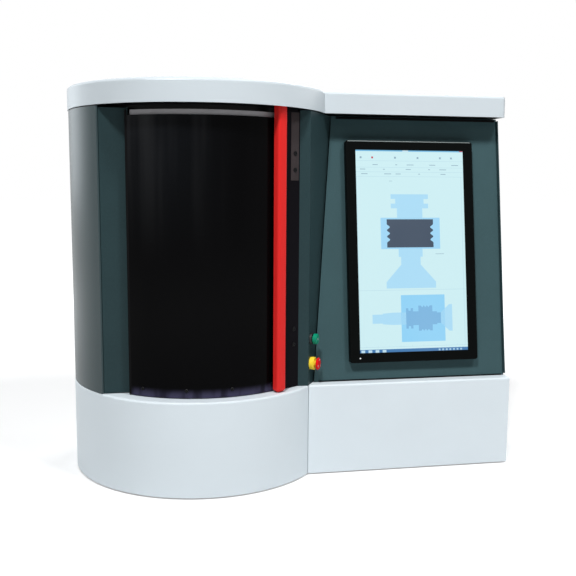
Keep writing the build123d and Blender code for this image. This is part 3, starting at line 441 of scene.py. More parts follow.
@coat
def window_tint(name):
    """Dark clear sheet with wiping marks in the coat at its upper left, a lighter base colour there as
    painted reflection, and a painted violet reflection along its lower edge.
    """
    sheet = Finish(name, {"Specular IOR Level": 0.03, "Coat Roughness": 0.3, "Coat IOR": 1.35})
    x = sheet.node("ShaderNodeSeparateXYZ", {"Vector": sheet.place}, "X")
    height = x.pick("Z")
    low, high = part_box("door_window")
    # The upper left: wiping marks in the coat there, and a lighter base colour as painted reflection.
    upper = sheet.step(height, low.z + 0.45 * (high.z - low.z), high.z)
    left = 1.0 - sheet.step(x, low.x + 0.06, low.x + 0.75 * (high.x - low.x))
    smear = sheet.noise(23.0, 2.5, sheet.stretched(1.0, 1.0, 0.05))
    streak = sheet.step(smear, 0.44, 0.7)
    # A painted violet reflection in the base colour along the lower edge.
    lower = 1.0 - sheet.step(height, low.z + 2 * MM, low.z + 24 * MM)
    wavy_painted_reflection = sheet.step(sheet.noise(55.0, 1.0, sheet.stretched(1.0, 1.0, 0.2)), 0.35, 0.6)
    sheet.set("Coat Weight", sheet.limited(0.34 * streak * upper * (0.1 + left)))
    # The base colour is lighter at the upper left: painted reflection.
    body = sheet.mix(upper * left, tone(4, 4, 5), tone(15, 17, 20))
    sheet.set("Base Color", sheet.mix(0.75 * lower * (0.35 + 0.65 * wavy_painted_reflection), body, tone(74, 72, 98)))
    sheet.set("Roughness", 0.1 + 0.12 * smear)
    return sheet.material


@coat
def display(name):
    """Anti-glare glass over the screen, nearly black where nothing is lit."""
    glass = Finish(name, {"Specular IOR Level": 0.3})
    fine = glass.noise(1400.0, 1.0)
    glass.set("Base Color", glass.mix(fine, tone(10, 14, 18), tone(14, 19, 24)))
    glass.set("Roughness", 0.22 + 0.08 * fine)
    return glass.material


def moulded_plastic(name, colour, roughness, grain=800.0, depth=0.03 * MM, shine=0.5):
    """Moulded plastic with the fine texture of its tool."""
    plastic = Finish(name, {"Specular IOR Level": shine})
    texture = plastic.noise(grain, 2.0)
    patches = plastic.noise(25.0, 2.0)
    plastic.set("Base Color", plastic.mix(patches, shade(colour, 0.92), shade(colour, 1.08)))
    plastic.set("Roughness", roughness + 0.1 * texture)
    plastic.raised(texture, depth, 0.5)
    return plastic.material


@coat
def bezel_plastic(name):
    return moulded_plastic(name, tone(11, 13, 13), 0.24, 1200.0, 0.015 * MM, 0.02)


@coat
def black_plastic(name):
    return moulded_plastic(name, tone(20, 20, 22), 0.46)


@coat
def rubber(name):
    return moulded_plastic(name, tone(12, 12, 13), 0.6, 500.0, 0.05 * MM, 0.06)


@coat
def green_plastic(name):
    return moulded_plastic(name, tone(10, 142, 108), 0.24, shine=0.15)


@coat
def yellow_plastic(name):
    return moulded_plastic(name, tone(250, 218, 60), 0.3, shine=0.15)


@coat
def red_plastic(name):
    return moulded_plastic(name, tone(228, 24, 28), 0.26, shine=0.08)


@coat
def glide_plastic(name):
    return moulded_plastic(name, tone(222, 219, 208), 0.5)


@coat
def screen_light(name):
    """The lit picture: each shape's own colour, a little uneven as a panel's backlight is."""
    picture = Finish(name, {
        "Roughness": 0.3, "Specular IOR Level": 0.2,
        "Emission Strength": bpy.context.scene.shaft_screen.level,
    })
    tint = picture.node("ShaderNodeAttribute", output="Color", attribute_name="tint")
    cloud = picture.noise(5.0, 1.0)
    lit = picture.mix(0.12 * cloud, tint, tone(235, 250, 255))
    picture.set("Base Color", picture.mix(0.88, tint, (0.0, 0.0, 0.0)))
    picture.set("Emission Color", lit)
    return picture.material


@coat
def lens_glass(name):
    """Coated front glass with a violet sheen."""
    glass = Finish(name, {"Roughness": 0.05, "Coat Weight": 1.0, "Coat Roughness": 0.02})
    ring = glass.noise(20.0, 1.0)
    glass.set("Base Color", glass.mix(ring, tone(14, 10, 34), tone(34, 22, 66)))
    return glass.material


@coat
def lamp_glass(name):
    """Front glass of the light source, faintly lit."""
    glass = Finish(name, {"Roughness": 0.08, "Coat Weight": 1.0, "Emission Strength": 0.25})
    cloud = glass.noise(16.0, 1.0)
    glow = glass.mix(cloud, tone(120, 190, 235), tone(170, 220, 250))
    glass.set("Base Color", glass.mix(cloud, tone(90, 130, 150), tone(120, 160, 180)))
    glass.set("Emission Color", glow)
    return glass.material


@coat
def mark_white(name):
    return moulded_plastic(name, tone(232, 236, 238), 0.4)


# A light metal strip on the bezel's top edge: partly the metal's own reflection, partly a painted highlight.
@coat
def lip_chrome(name):
    return brushed_metal(name, tone(128, 138, 138), 0.3, (0.06, 1.0, 1.0), 0.4, 0.3)


@coat
def bracket_steel(name):
    """Blackened sheet with a brown cast."""
    return brushed_metal(name, tone(63, 57, 58), 0.5, (1.0, 1.0, 0.08), 0.1, 0.06)


# A darker copy of the covers' paint on the top cover: painted shade.
@coat
def hood_paint(name):
    return white_shade(name, 0.87)


# Near-black paint on the roof plate: painted shade in the gap under the top cover.
@coat
def roof_paint(name):
    return structured_paint(name, tone(11, 11, 12), 0.06 * MM, 0.04)


# A darker, glossier copy of the walls' paint on the left wall: the darkness is painted shade, the gloss is
# the shader's own.
@coat
def wall_paint(name):
    return slate_shade(name, 0.52, 0.3)


# A darker copy of the walls' paint on the front edge of the right side sheet: painted shade.
@coat
def edge_paint(name):
    return slate_shade(name, 0.62, 0.05)


# A darker copy of the walls' paint on the right cheek: painted shade.
@coat
def cheek_paint(name):
    return slate_shade(name, 0.58, 0.05)


# A darker copy of the walls' paint on the door's side plate: painted shade.
@coat
def leaf_paint(name):
    return slate_shade(name, 0.53, 0.07)


# Nodes with a finish of their own: darker copies of their paint, or near-black paint, as painted shade.
OWN_FINISH = {
    "top_cover": "hood_paint", "roof_plate": "roof_paint", "left_wall": "wall_paint",
    "right_cheek": "cheek_paint", "door_side_plate": "leaf_paint",
}


# Meshes


def shown(name, data):
    """A new object in the scene."""
    added = bpy.data.objects.new(name, data)
    bpy.context.scene.collection.objects.link(added)
    return added


def made(name, shape, body, slot, own=None):
    """A finished piece from a bmesh, with its faces outwards."""
    bmesh.ops.recalc_face_normals(shape, faces=shape.faces)
    mesh = bpy.data.meshes.new(name)
    shape.to_mesh(mesh)
    shape.free()
    return placed(name, mesh, body, slot, own)


def coated(mesh, slot, own=None):
    """Gives a mesh the finish of its slot, or one of its own."""
    mesh.materials.clear()
    mesh.materials.append(finish(slot, own))


def placed(name, mesh, body, slot, own=None):
    """A mesh as a piece of the machine, smooth but for its sharp edges, carried by a body."""
    mesh.shade_smooth()
    mesh.set_sharp_from_angle(angle=math.radians(32))
    coated(mesh, slot, own)
    piece = shown(name, mesh)
    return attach(piece, body)


def lathe(shape, place, profile, steps=32):
    """Adds a turned form about Z to a bmesh, from its half section of radius and height."""
    rings = []
    for radius, height in profile:
        if radius == 0:
            rings.append([shape.verts.new(place @ Vector((0, 0, height)))])
            continue
        ring = []
        for step in range(steps):
            turn = 2 * math.pi * step / steps
            ring.append(shape.verts.new(place @ Vector((*around(radius, turn), height))))
        rings.append(ring)
    for lower, upper in zip(rings, rings[1:]):
        for step in range(steps):
            after = (step + 1) % steps
            if len(lower) == 1 and len(upper) == 1:
                continue
            if len(lower) == 1:
                shape.faces.new((lower[0], upper[after], upper[step]))
            elif len(upper) == 1:
                shape.faces.new((lower[step], lower[after], upper[0]))
            else:
                shape.faces.new((lower[step], lower[after], upper[after], upper[step]))
    return shape


def prism(shape, place, outline, low, high, bevel=0.0):
    """Adds a flat outline, raised between two heights, with its upper edges bevelled."""
    bottom = [shape.verts.new(place @ Vector((x, y, low))) for x, y in outline]
    top = [shape.verts.new(place @ Vector((x, y, high))) for x, y in outline]
    count = len(outline)
    faces = [shape.faces.new(tuple(reversed(bottom))), shape.faces.new(tuple(top))]
    for index in range(count):
        after = (index + 1) % count
        faces.append(shape.faces.new((bottom[index], bottom[after], top[after], top[index])))
    if bevel:
        bmesh.ops.bevel(
            shape, geom=list(faces[1].edges), offset=bevel, segments=2, profile=0.5, affect="EDGES")
    return faces


def rounded(width, height, radius, x=0.0, y=0.0, steps=4):
    """A rectangle with round corners, about a point."""
    points = []
    for corner in range(4):
        start = math.pi / 2 * corner
        cx = x + (width / 2 - radius) * (1 if corner in (0, 3) else -1)
        cy = y + (height / 2 - radius) * (1 if corner in (0, 1) else -1)
        for step in range(steps + 1):
            dx, dy = around(radius, start + math.pi / 2 * step / steps)
            points.append((cx + dx, cy + dy))
    return points


# Geometry Nodes


def new_tree(name, *sizes):
    """A Geometry Nodes tree with a geometry input, named sizes and a material."""
    tree = bpy.data.node_groups.new(name, "GeometryNodeTree")
    kinds = {"Geometry": "Geometry", **dict.fromkeys(sizes, "Float"), "Material": "Material"}
    if "Count" in kinds:
        kinds["Count"] = "Int"
    for label, kind in kinds.items():
        tree.interface.new_socket(label, in_out="INPUT", socket_type="NodeSocket" + kind)
    tree.interface.new_socket("Geometry", in_out="OUTPUT", socket_type="NodeSocketGeometry")
    graph = Graph(tree)
    return graph, graph.node("NodeGroupInput")


def end_tree(graph, given, form):
    """Copies of a form on the places, each turned to its direction, realised and with their material."""
    towards = graph.node("GeometryNodeInputNamedAttribute", {"Name": "facing"}, data_type="FLOAT_VECTOR")
    turn = graph.node("FunctionNodeAlignRotationToVector", {"Vector": towards}, axis="Z")
    values = {"Points": given.pick("Geometry"), "Instance": form, "Rotation": turn}
    copies = graph.node("GeometryNodeInstanceOnPoints", values)
    real = graph.node("GeometryNodeRealizeInstances", {"Geometry": copies})
    values = {"Geometry": real, "Material": given.pick("Material")}
    painted = graph.node("GeometryNodeSetMaterial", values)
    graph.feed(graph.tree.nodes.new("NodeGroupOutput").inputs["Geometry"], painted)
    return graph.tree


def grown(name, grow, sizes, places, body, slot):
    """A plain mesh that a function's tree grows on places, each a point and a direction."""
    tree = bpy.data.node_groups.get(grow.__name__) or grow(grow.__name__)
    seeds = bpy.data.meshes.new(name + "_places")
    seeds.from_pydata([tuple(point) for point, out in places], [], [])
    attribute = seeds.attributes.new("facing", "FLOAT_VECTOR", "POINT")
    for index, (point, out) in enumerate(places):
        attribute.data[index].vector = tuple(out)
    holder = shown(name + "_holder", seeds)
    modifier = holder.modifiers.new("Grow", "NODES")
    modifier.node_group = tree
    sockets = {item.name: item.identifier for item in tree.interface.items_tree if item.in_out == "INPUT"}
    for size, value in sizes.items():
        modifier[sockets[size]] = value
    modifier[sockets["Material"]] = finish(slot)
    bpy.context.view_layer.update()
    evaluated = holder.evaluated_get(bpy.context.evaluated_depsgraph_get())
    mesh = bpy.data.meshes.new_from_object(evaluated)
    holder.modifiers.remove(modifier)
    bpy.data.objects.remove(holder)
    if not mesh.polygons:
        raise RuntimeError(f"{name} came out empty")
    return placed(name, mesh, body, slot)


def screw_heads(name):
    """Screw heads with a round socket, one on each place."""
    graph, given = new_tree(name, "Radius", "Height")
    radius, height = given.pick("Radius"), given.pick("Height")
    ring = graph.node("GeometryNodeMeshCircle", {"Vertices": 18, "Radius": radius}, fill_type="NGON")
    closed = graph.node("GeometryNodeFlipFaces", {"Mesh": ring})
    up = graph.node("ShaderNodeCombineXYZ", {"Z": 1.0})

    def pulled(mesh, selection, offset):
        values = {"Mesh": mesh, "Selection": selection, "Offset": up, "Offset Scale": offset}
        return graph.node("GeometryNodeExtrudeMesh", values, mode="FACES")

    def narrowed(mesh, selection, factor):
        values = {"Geometry": mesh, "Selection": selection, "Scale": factor}
        return graph.node("GeometryNodeScaleElements", values, domain="FACE")

    side = pulled(ring, True, 0.6 * height)
    crown = pulled(side, side.pick("Top"), 0.4 * height)
    crowned = narrowed(crown, crown.pick("Top"), 0.72)
    rim = pulled(crowned, crown.pick("Top"), 0.0)
    inner = narrowed(rim, rim.pick("Top"), 0.62)
    well = pulled(inner, rim.pick("Top"), -0.55 * height)
    whole = graph.node("GeometryNodeJoinGeometry")
    for part in (closed, well):
        graph.tree.links.new(part.socket, whole.socket.node.inputs[0])
    head = graph.node("GeometryNodeMergeByDistance", {"Geometry": whole, "Distance": 1e-5})
    return end_tree(graph, given, head)


def grip_ridges(name):
    """Small ridges round a ring, for a grip: each place is the middle of a ring."""
    graph, given = new_tree(name, "Count", "Ring radius", "Ridge length", "Ridge width")
    ring = graph.node("GeometryNodeMeshCircle", {
        "Vertices": given.pick("Count"), "Radius": given.pick("Ring radius")})
    width = given.pick("Ridge width")
    length = given.pick("Ridge length")
    size = graph.node("ShaderNodeCombineXYZ", {"X": width, "Y": width, "Z": length})
    ridge = graph.node("GeometryNodeMeshCube", {"Size": size})
    place = graph.node("GeometryNodeInputPosition")
    turn = graph.node("FunctionNodeAlignRotationToVector", {"Vector": place}, axis="X", pivot_axis="Z")
    copies = graph.node("GeometryNodeInstanceOnPoints", {
        "Points": ring, "Instance": ridge, "Rotation": turn})
    real = graph.node("GeometryNodeRealizeInstances", {"Geometry": copies})
    return end_tree(graph, given, real)


def running_thread(name):
    """A rod whose surface has one running groove, standing on its place."""
    graph, given = new_tree(name, "Radius", "Length", "Pitch", "Groove")
    length, pitch = given.pick("Length"), given.pick("Pitch")
    rows_per_pitch = 8.0
    rows = length / pitch * rows_per_pitch
    values = {"Vertices": 24, "Side Segments": rows, "Radius": given.pick("Radius"), "Depth": length}
    rod = graph.node("GeometryNodeMeshCylinder", values, fill_type="NGON")
    place = graph.node("GeometryNodeInputPosition")
    x = graph.node("ShaderNodeSeparateXYZ", {"Vector": place}, "X")
    y, z = x.pick("Y"), x.pick("Z")
    angle = graph.node("ShaderNodeMath", {0: y, 1: x}, operation="ARCTAN2")
    phase = z / pitch * (2 * math.pi) - angle
    wave = graph.node("ShaderNodeMath", {0: phase}, operation="COSINE")
    hollow = graph.limited(wave) * given.pick("Groove")
    shrink = 1.0 - hollow / given.pick("Radius")
    values = {"X": x * shrink, "Y": y * shrink, "Z": z + length * 0.5}
    moved = graph.node("ShaderNodeCombineXYZ", values)
    cut = graph.node("GeometryNodeSetPosition", {"Geometry": rod, "Position": moved})
    return end_tree(graph, given, cut)


def screws(name, places, radius, height, body="housing", slot="black_metal"):
    """Screw heads of one size on places."""
    grown(name, screw_heads, {"Radius": radius, "Height": height}, places, body, slot)


def spread(low, high, pitch):
    """Even places between two limits, no further apart than a pitch."""
    count = max(1, math.ceil((high - low) / pitch))
    return [low + (high - low) * step / count for step in range(count + 1)]


# Operators


class SHAFT_OT_node_finishes(bpy.types.Operator):
    """Gives every node of the frame the finish of its slot, or a finish of its own from OWN_FINISH that
    paints shade on it
    """

    bl_idname = "shaft.node_finishes"
    bl_label = "Finishes of the parts"

    def execute(self, context):
        for row in frame["record"]["subparts"]:
            node = row["node"]
            coated(frame["nodes"][node].data, row["material_slot"], OWN_FINISH.get(node))
        return {"FINISHED"}


class SHAFT_OT_window_screws(bpy.types.Operator):
    """Dark screws along the lower edge of the door's window"""

    bl_idname = "shaft.window_screws"
    bl_label = "Window screws"

    def execute(self, context):
        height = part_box("door_window")[0].z + 18 * MM
        places = [window_point(math.radians(angle), height) for angle in (-32, -11, 10, 31)]
        screws("window_screws", places, 4.2 * MM, 2.2 * MM, "door")
        return {"FINISHED"}


class SHAFT_OT_strip_fittings(bpy.types.Operator):
    """The track's bracket at the top of the dark strip, and the strip's screws"""

    bl_idname = "shaft.strip_fittings"
    bl_label = "Strip fittings"

    def execute(self, context):
        ground = face_of("jamb_strip", STRIP_OUT)
        centre, strip_top = middle("jamb_strip").z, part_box("jamb_strip")[1].z
        bracket_foot, bracket_width, bracket_thick = 747 * MM, 26 * MM, 0.9 * MM
        screws_aside, bracket_aside = 7.2 * MM, 6.4 * MM
        low, high = bracket_foot - centre, strip_top - centre - 2 * MM
        shape = bmesh.new()
        plate = rounded(bracket_width, high - low, 1.5 * MM, bracket_aside, (low + high) / 2)
        prism(shape, ground, plate, 0.0, bracket_thick, 0.3 * MM)
        made("strip_bracket", shape, "housing", "grey_aluminium", "bracket_steel")
        places = []
        for height in (812 * MM, 772 * MM, 382 * MM, 343 * MM):
            proud = bracket_thick if height > bracket_foot else 0.0
            places.append((ground @ Vector((screws_aside, height - centre, proud)), STRIP_OUT))
        screws("strip_screws", places, 5.6 * MM, 2.4 * MM)
        return {"FINISHED"}


def shaft_profile(start, end):
    """The measured shaft between two lengths: pairs of length and radius, in millimetres."""
    points = [
        (0, 11), (26, 11), (26, 13), (52, 15), (86, 15), (86, 25), (92, 25), (92, 19), (98, 19), (98, 25),
        (104, 25), (104, 17), (118, 17), (118, 31), (124, 31),
    ]
    for step in range(1, 24):
        points.append((124 + step, 31 - 4 * math.sin(math.pi * step / 8) ** 2))
    points += [(148, 31), (154, 31), (154, 16), (166, 16), (166, 13), (176, 13), (198, 33), (206, 33)]
    return [point for point in points if start <= point[0] <= end]


def mirrored(profile, scale, x, y, along_x):
    """A closed outline from a profile and its mirror, laid along X or up Y."""
    first = [(length * scale, radius * scale) for length, radius in profile]
    loop = first + [(length, -radius) for length, radius in reversed(first)]
    if along_x:
        return [(x + length, y + radius) for length, radius in loop]
    return [(x + radius, y + length) for length, radius in loop]


def frame_of(x0, x1, y0, y1):
    """The corners of a rectangle."""
    return [(x0, y0), (x1, y0), (x1, y1), (x0, y1)]


class SHAFT_OT_screen_picture(bpy.types.Operator):
    """The picture on the screen: bars, a magnified shaft and its overview"""

    bl_idname = "shaft.screen_picture"
    bl_label = "Screen picture"

    def execute(self, context):
        settings = context.scene.shaft_screen
        paper, part, bar = (tuple(colour) for colour in (settings.paper, settings.part, settings.bar))
        line, ink, section = tone(180, 216, 230), tone(140, 172, 190), tone(50, 66, 88)
        half_width, half_height = 149.3, 265.3
        shapes = []

        def area(outline, colour, level):
            shapes.append((outline, colour, level))

        def band(x0, x1, y0, y1, colour, level=1):
            area(frame_of(x0, x1, y0, y1), colour, level)

        def rule(height):
            band(-half_width, half_width, height, height + 0.7, line)

        band(-half_width, half_width, -half_height, half_height, paper, 0)

        # The title bar with its handle and its closing mark, then the rows of tools
        title_foot = half_height - 5
        band(-half_width, half_width, title_foot, half_height, tone(112, 184, 226))
        band(-20, -4, title_foot, half_height, tone(198, 226, 240), 2)
        band(half_width - 12, half_width - 2, half_height - 4, half_height - 0.6, tone(188, 70, 92), 2)
        for row, height in enumerate((243, 226, 214, 202)):
            rule(height - 8)
            for slot in range(9):
                left = -136 + 31 * slot + 3 * (row % 2)
                wide = (5, 19, 14, 17)[(slot + row) % 4] if row else 5
                if (slot * 3 + row * 5) % 7 < 4:
                    colour = tone(196, 64, 84) if row == 0 and slot == 1 else ink
                    band(left, left + wide, height - 1.6, height + (3.4 if row == 0 else 0.2), colour)

        # The frame round the drawing
        ruler = -250
        band(-half_width + 3, -half_width + 3.8, ruler, 194, line)
        band(half_width - 9, half_width - 8.2, ruler, 194, line)
        band(-half_width, half_width, -103, -102.2, line)

        # The magnified shaft, upright, with the stretch that is being measured
        scale, middle_x, base, shaft_end = 2.05, -4, -98, 206

        def upright(start, end):
            profile = [(shaft_end - length, radius) for length, radius in shaft_profile(start, end)]
            return mirrored(profile, scale, middle_x, base, False)

        area(upright(64, shaft_end), part, 1)
        top, bottom = base + (shaft_end - 116) * scale, base + (shaft_end - 156) * scale
        band(-84, 78, bottom, top, tone(158, 214, 246))
        area(upright(118, 154), section, 2)
        band(-58, -50, 182, 183, ink, 2)
        band(64, 88, bottom - 14, bottom - 12.8, ink, 2)

        # The overview, lying, with the stretch that is shown above
        small, overview_left, middle_y = 1.06, -112, -177
        band(-34, 86, -238, -116, tone(141, 209, 246))
        for start, end, colour, level in ((0, shaft_end, part, 1), (86, 176, tone(117, 178, 222), 2)):
            outline = mirrored(shaft_profile(start, end), small, overview_left, middle_y, True)
            area(outline, colour, level)

        # The ruler and the task bar
        rule(ruler)
        for slot in range(9):
            band(-130 + 31 * slot, -129.4 + 31 * slot, ruler, ruler + 4, line)
        band(-half_width, half_width, -half_height, -255.5, bar)
        for slot in range(4):
            band(-144 + 19 * slot, -134 + 19 * slot, -half_height + 1.6, -257, tone(190, 224, 240), 2)
        for slot in range(7):
            band(66 + 10 * slot, 71 + 10 * slot, -half_height + 2.6, -258, tone(160, 200, 226), 2)

        ground = face_of("display_glass", PANEL_OUT)
        shape = bmesh.new()
        tint = shape.loops.layers.float_color.new("tint")
        for outline, colour, level in shapes:
            for face in prism(shape, ground, metres(outline), 0.0, (0.06 + 0.08 * level) * MM):
                for loop in face.loops:
                    loop[tint] = (*colour, 1.0)
        made("screen_picture", shape, "housing", "display", "screen_light")
        return {"FINISHED"}


class SHAFT_OT_bezel_details(bpy.types.Operator):
    """The power light in the lower edge of the bezel, and a light metal strip along its top that is partly a
    painted highlight of its edge
    """

    bl_idname = "shaft.bezel_details"
    bl_label = "Bezel details"

    def execute(self, context):
        ground = face_of("monitor_bezel", PANEL_OUT)
        shape = bmesh.new()
        spot = ground @ Matrix.Translation((-147.4 * MM, -277 * MM, 0))
        lathe(shape, spot, metres([(0, 0), (2.0, 0), (2.0, 0.35), (1.5, 0.6), (0, 0.7)]), 20)
        made("bezel_light", shape, "housing", "bezel_plastic", "mark_white")
        # A lighter strip along the bezel's top: partly a painted highlight of its edge.
        shape = bmesh.new()
        prism(shape, ground, metres(frame_of(-168, 168, 285.2, 287.1)), 0, 0.3 * MM, 0.1 * MM)
        made("bezel_highlight_strip", shape, "housing", "bezel_plastic", "lip_chrome")
        return {"FINISHED"}


class SHAFT_OT_button_details(bpy.types.Operator):
    """The white dot in the middle of the start button and the pointers on the stop button"""

    bl_idname = "shaft.button_details"
    bl_label = "Button details"

    def execute(self, context):
        # A white dot in the middle of the start button's cap.
        lens = metres([(0, 0), (2.2, 0), (2.2, 0.4), (1.4, 0.8), (0, 0.9)])
        shape = lathe(bmesh.new(), face_of("start_cap", CHEEK_OUT), lens, 20)
        made("start_white_dot", shape, "start_button", "green_plastic", "mark_white")
        ground = face_of("stop_cap", CHEEK_OUT)
        arrow = metres([
            (-3.2, 8.6), (1.2, 8.6), (1.2, 7.2), (4.4, 9.6), (1.2, 12.0), (1.2, 10.6), (-3.2, 10.6)])
        shape = bmesh.new()
        for number in range(3):
            place = ground @ Matrix.Rotation(2 * math.pi * number / 3, 4, "Z")
            prism(shape, place, arrow, -0.9 * MM, -0.25 * MM)
        made("stop_pointers", shape, "stop_head", "red_plastic", "mark_white")
        return {"FINISHED"}


class SHAFT_OT_panel_screws(bpy.types.Operator):
    """Button-head screws round the rear panels, the right side and the fan"""

    bl_idname = "shaft.panel_screws"
    bl_label = "Panel screws"

    def execute(self, context):
        settings = context.scene.shaft_housing
        radius, pitch = settings.screw_radius, settings.screw_pitch
        inset, drum_inset, hidden = 14 * MM, 40 * MM, 0.02 * MM
        places = []
        for node, left_inset in (("rear_panel_drum", drum_inset), ("rear_panel_wing", inset)):
            low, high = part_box(node)
            left, right = low.x + left_inset, high.x - inset
            foot, head = low.z + inset, high.z - inset
            for height in spread(foot, head, pitch):
                places += [(Vector((x, high.y, height)), BACK) for x in (left, right)]
            for x in spread(left, right, pitch)[1:-1]:
                places += [(Vector((x, high.y, height)), BACK) for height in (foot, head)]
        fan, rear, hole = middle("fan_frame"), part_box("rear_panel_wing")[1].y, 52.5 * MM
        for x in (fan.x - hole, fan.x + hole):
            places += [(Vector((x, rear, z)), BACK) for z in (fan.z - hole, fan.z + hole)]
        screws("panel_screws", places, radius, 2.0 * MM)
        low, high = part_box("wing_side_panel")
        flush = []
        for height in spread(low.z + inset, high.z - inset, pitch):
            front = low.y + inset + (height - low.z) * math.tan(PANEL_TILT)
            flush += [(Vector((high.x - hidden, y, height)), RIGHT) for y in (front, high.y - inset)]
        screws("side_screws", flush, radius, 0.06 * MM)
        return {"FINISHED"}


class SHAFT_OT_panel_seals(bpy.types.Operator):
    """The dark joints above and below the screen panel, and the front edge of the right side sheet, whose
    darker paint is painted shade
    """

    bl_idname = "shaft.panel_seals"
    bl_label = "Panel seals"

    def execute(self, context):
        low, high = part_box("screen_panel")
        ground = face_of("screen_panel", PANEL_OUT, Vector((0, low.y, low.z)))
        points = corners("screen_panel")
        length = (high.z - low.z) / math.cos(PANEL_TILT)
        inset = 12 * MM
        foot_left = min(point.x for point in points if point.z < low.z + MM) + inset
        head_left = min(point.x for point in points if point.z > high.z - MM) + inset
        right = high.x - 9 * MM
        shape = bmesh.new()
        foot = frame_of(foot_left, right, 0.6 * MM, 3.4 * MM)
        head = frame_of(head_left, right, length - 7.5 * MM, length - 1.5 * MM)
        for outline in (foot, head):
            prism(shape, ground, outline, -0.4 * MM, 1.6 * MM, 0.3 * MM)
        made("panel_seals", shape, "housing", "rubber")
        # The side sheet's front edge, in a darker paint that paints the shade of the edge.
        shape = bmesh.new()
        edge = frame_of(high.x - 3.2 * MM, high.x - 0.1 * MM, 5 * MM, length - 5 * MM)
        prism(shape, ground, edge, -9 * MM, 6 * MM, 0.4 * MM)
        made("side_sheet_edge", shape, "housing", "slate_paint", "edge_paint")
        return {"FINISHED"}


class SHAFT_OT_guide_screws(bpy.types.Operator):
    """The screws sunk in the guide rails, and those that hold the column and the headstock"""

    bl_idname = "shaft.guide_screws"
    bl_label = "Machine screws"

    def execute(self, context):
        low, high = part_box("guide_rails")
        rail_aside, hidden = 50 * MM, 0.02 * MM
        sunk = []
        for x in (AXIS.x - rail_aside, AXIS.x + rail_aside):
            for height in spread(low.z + 40 * MM, high.z - 20 * MM, 60 * MM):
                sunk.append((Vector((x, high.y - hidden, height)), BACK))
                sunk.append((Vector((x, low.y + hidden, height)), FRONT))
        screws("rail_screws", sunk, 4.4 * MM, 0.2 * MM)
        column_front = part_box("column")[0].y
        column_foot_top, headstock_foot_top, headstock_ring = 264 * MM, 254 * MM, 68 * MM
        fixed = []
        for x in (-95, 95):
            for y in (10, 40, 70, 95):
                fixed.append((Vector((AXIS.x + x * MM, column_front + y * MM, column_foot_top)), UP))
        for number in range(6):
            dx, dy = around(headstock_ring, math.radians(60 * number))
            fixed.append((Vector((AXIS.x + dx, AXIS.y + dy, headstock_foot_top)), UP))
        screws("machine_screws", fixed, 5.0 * MM, 5.0 * MM, slot="hard_steel")
        return {"FINISHED"}


class SHAFT_OT_ball_screw(bpy.types.Operator):
    """The lead screw with its running groove, in place of the plain rod"""

    bl_idname = "shaft.ball_screw"
    bl_label = "Lead screw"

    def execute(self, context):
        low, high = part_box("ball_screw")
        centre = middle("ball_screw")
        start, end = low.z + 22 * MM, high.z - 38 * MM
        sizes = {"Radius": 8.0 * MM, "Length": end - start, "Pitch": 10.0 * MM, "Groove": 1.1 * MM}
        places = [(Vector((centre.x, centre.y, start)), UP)]
        thread = grown("lead_screw_thread", running_thread, sizes, places, "lead_screw", "hard_steel")
        foot = Matrix.Translation((centre.x, centre.y, 0))
        radius, edge = 6.0 * MM, 0.8 * MM
        shape = bmesh.new()
        for near, far in ((low.z, start), (end, high.z)):
            lathe(shape, foot, [
                (0, near), (radius - edge, near), (radius, near + edge),
                (radius, far - edge), (radius - edge, far), (0, far)], 24)
        ends = made("lead_screw_ends", shape, "lead_screw", "hard_steel")
        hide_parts("ball_screw")
        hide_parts("ball_screw")
        return {"FINISHED"}


class SHAFT_OT_optics(bpy.types.Operator):
    """The front glasses of the lens and the light source, and the lens's grip"""

    bl_idname = "shaft.optics"
    bl_label = "Optics"

    def execute(self, context):
        height = middle("camera").z
        for name, side, node, recess, radius, material in (
            ("lens_front", 1, "telecentric_lens", 8 * MM, 49.7 * MM, "lens_glass"),
            ("lamp_front", -1, "light_unit", 6 * MM, 44.7 * MM, "lamp_glass"),
        ):
            along = Vector((side, 0, 0))
            near = -reach(node, -along)
            place = facing(Vector((0, AXIS.y, height)) + along * (near + recess), -along)
            rim, crown, steps = 1.0, 3.0, 8
            dome = [(0, 0.0), (radius, 0.0), (radius, rim * MM)]
            for step in range(1, steps):
                turn = math.pi / 2 * step / steps
                dome.append((radius * math.cos(turn), (rim + crown * math.sin(turn)) * MM))
            dome.append((0, (rim + crown) * MM))
            shape = lathe(bmesh.new(), place, dome, 48)
            made(name, shape, "fork", "display", material)
        ring = Vector((AXIS.x + 150.5 * MM, AXIS.y, height))
        sizes = {"Count": 90, "Ring radius": 55.2 * MM, "Ridge length": 8 * MM, "Ridge width": 1.6 * MM}
        grown("lens_grip", grip_ridges, sizes, [(ring, RIGHT)], "fork", "black_aluminium")
        return {"FINISHED"}


class SHAFT_OT_mains_details(bpy.types.Operator):
    """The two marks on the mains rocker"""

    bl_idname = "shaft.mains_details"
    bl_label = "Mains details"

    def execute(self, context):
        centre = middle("power_rocker")
        face = reach("power_rocker", BACK) - centre.y
        tip = Matrix.Rotation(-math.atan2(2.3, 19.0), 4, "X")

        def tipped(rise, depth):
            """A place on the tipped face, above the rocker's middle and under its highest point."""
            place = facing(Vector((centre.x, centre.y, centre.z + rise)), BACK)
            return place @ Matrix.Translation((0, 0, face - depth)) @ tip

        shape = bmesh.new()
        prism(shape, tipped(5 * MM, 1.9 * MM), rounded(1.2 * MM, 5 * MM, 0.3 * MM), 0.0, 0.5 * MM)
        ring = metres([(1.9, 0), (2.7, 0), (2.7, 0.5), (1.9, 0.5), (1.9, 0)])
        lathe(shape, tipped(-5.5 * MM, 0.75 * MM), ring, 24)
        bmesh.ops.remove_doubles(shape, verts=shape.verts, dist=1e-6)
        made("rocker_marks", shape, "mains_rocker", "black_plastic", "mark_white")
        return {"FINISHED"}


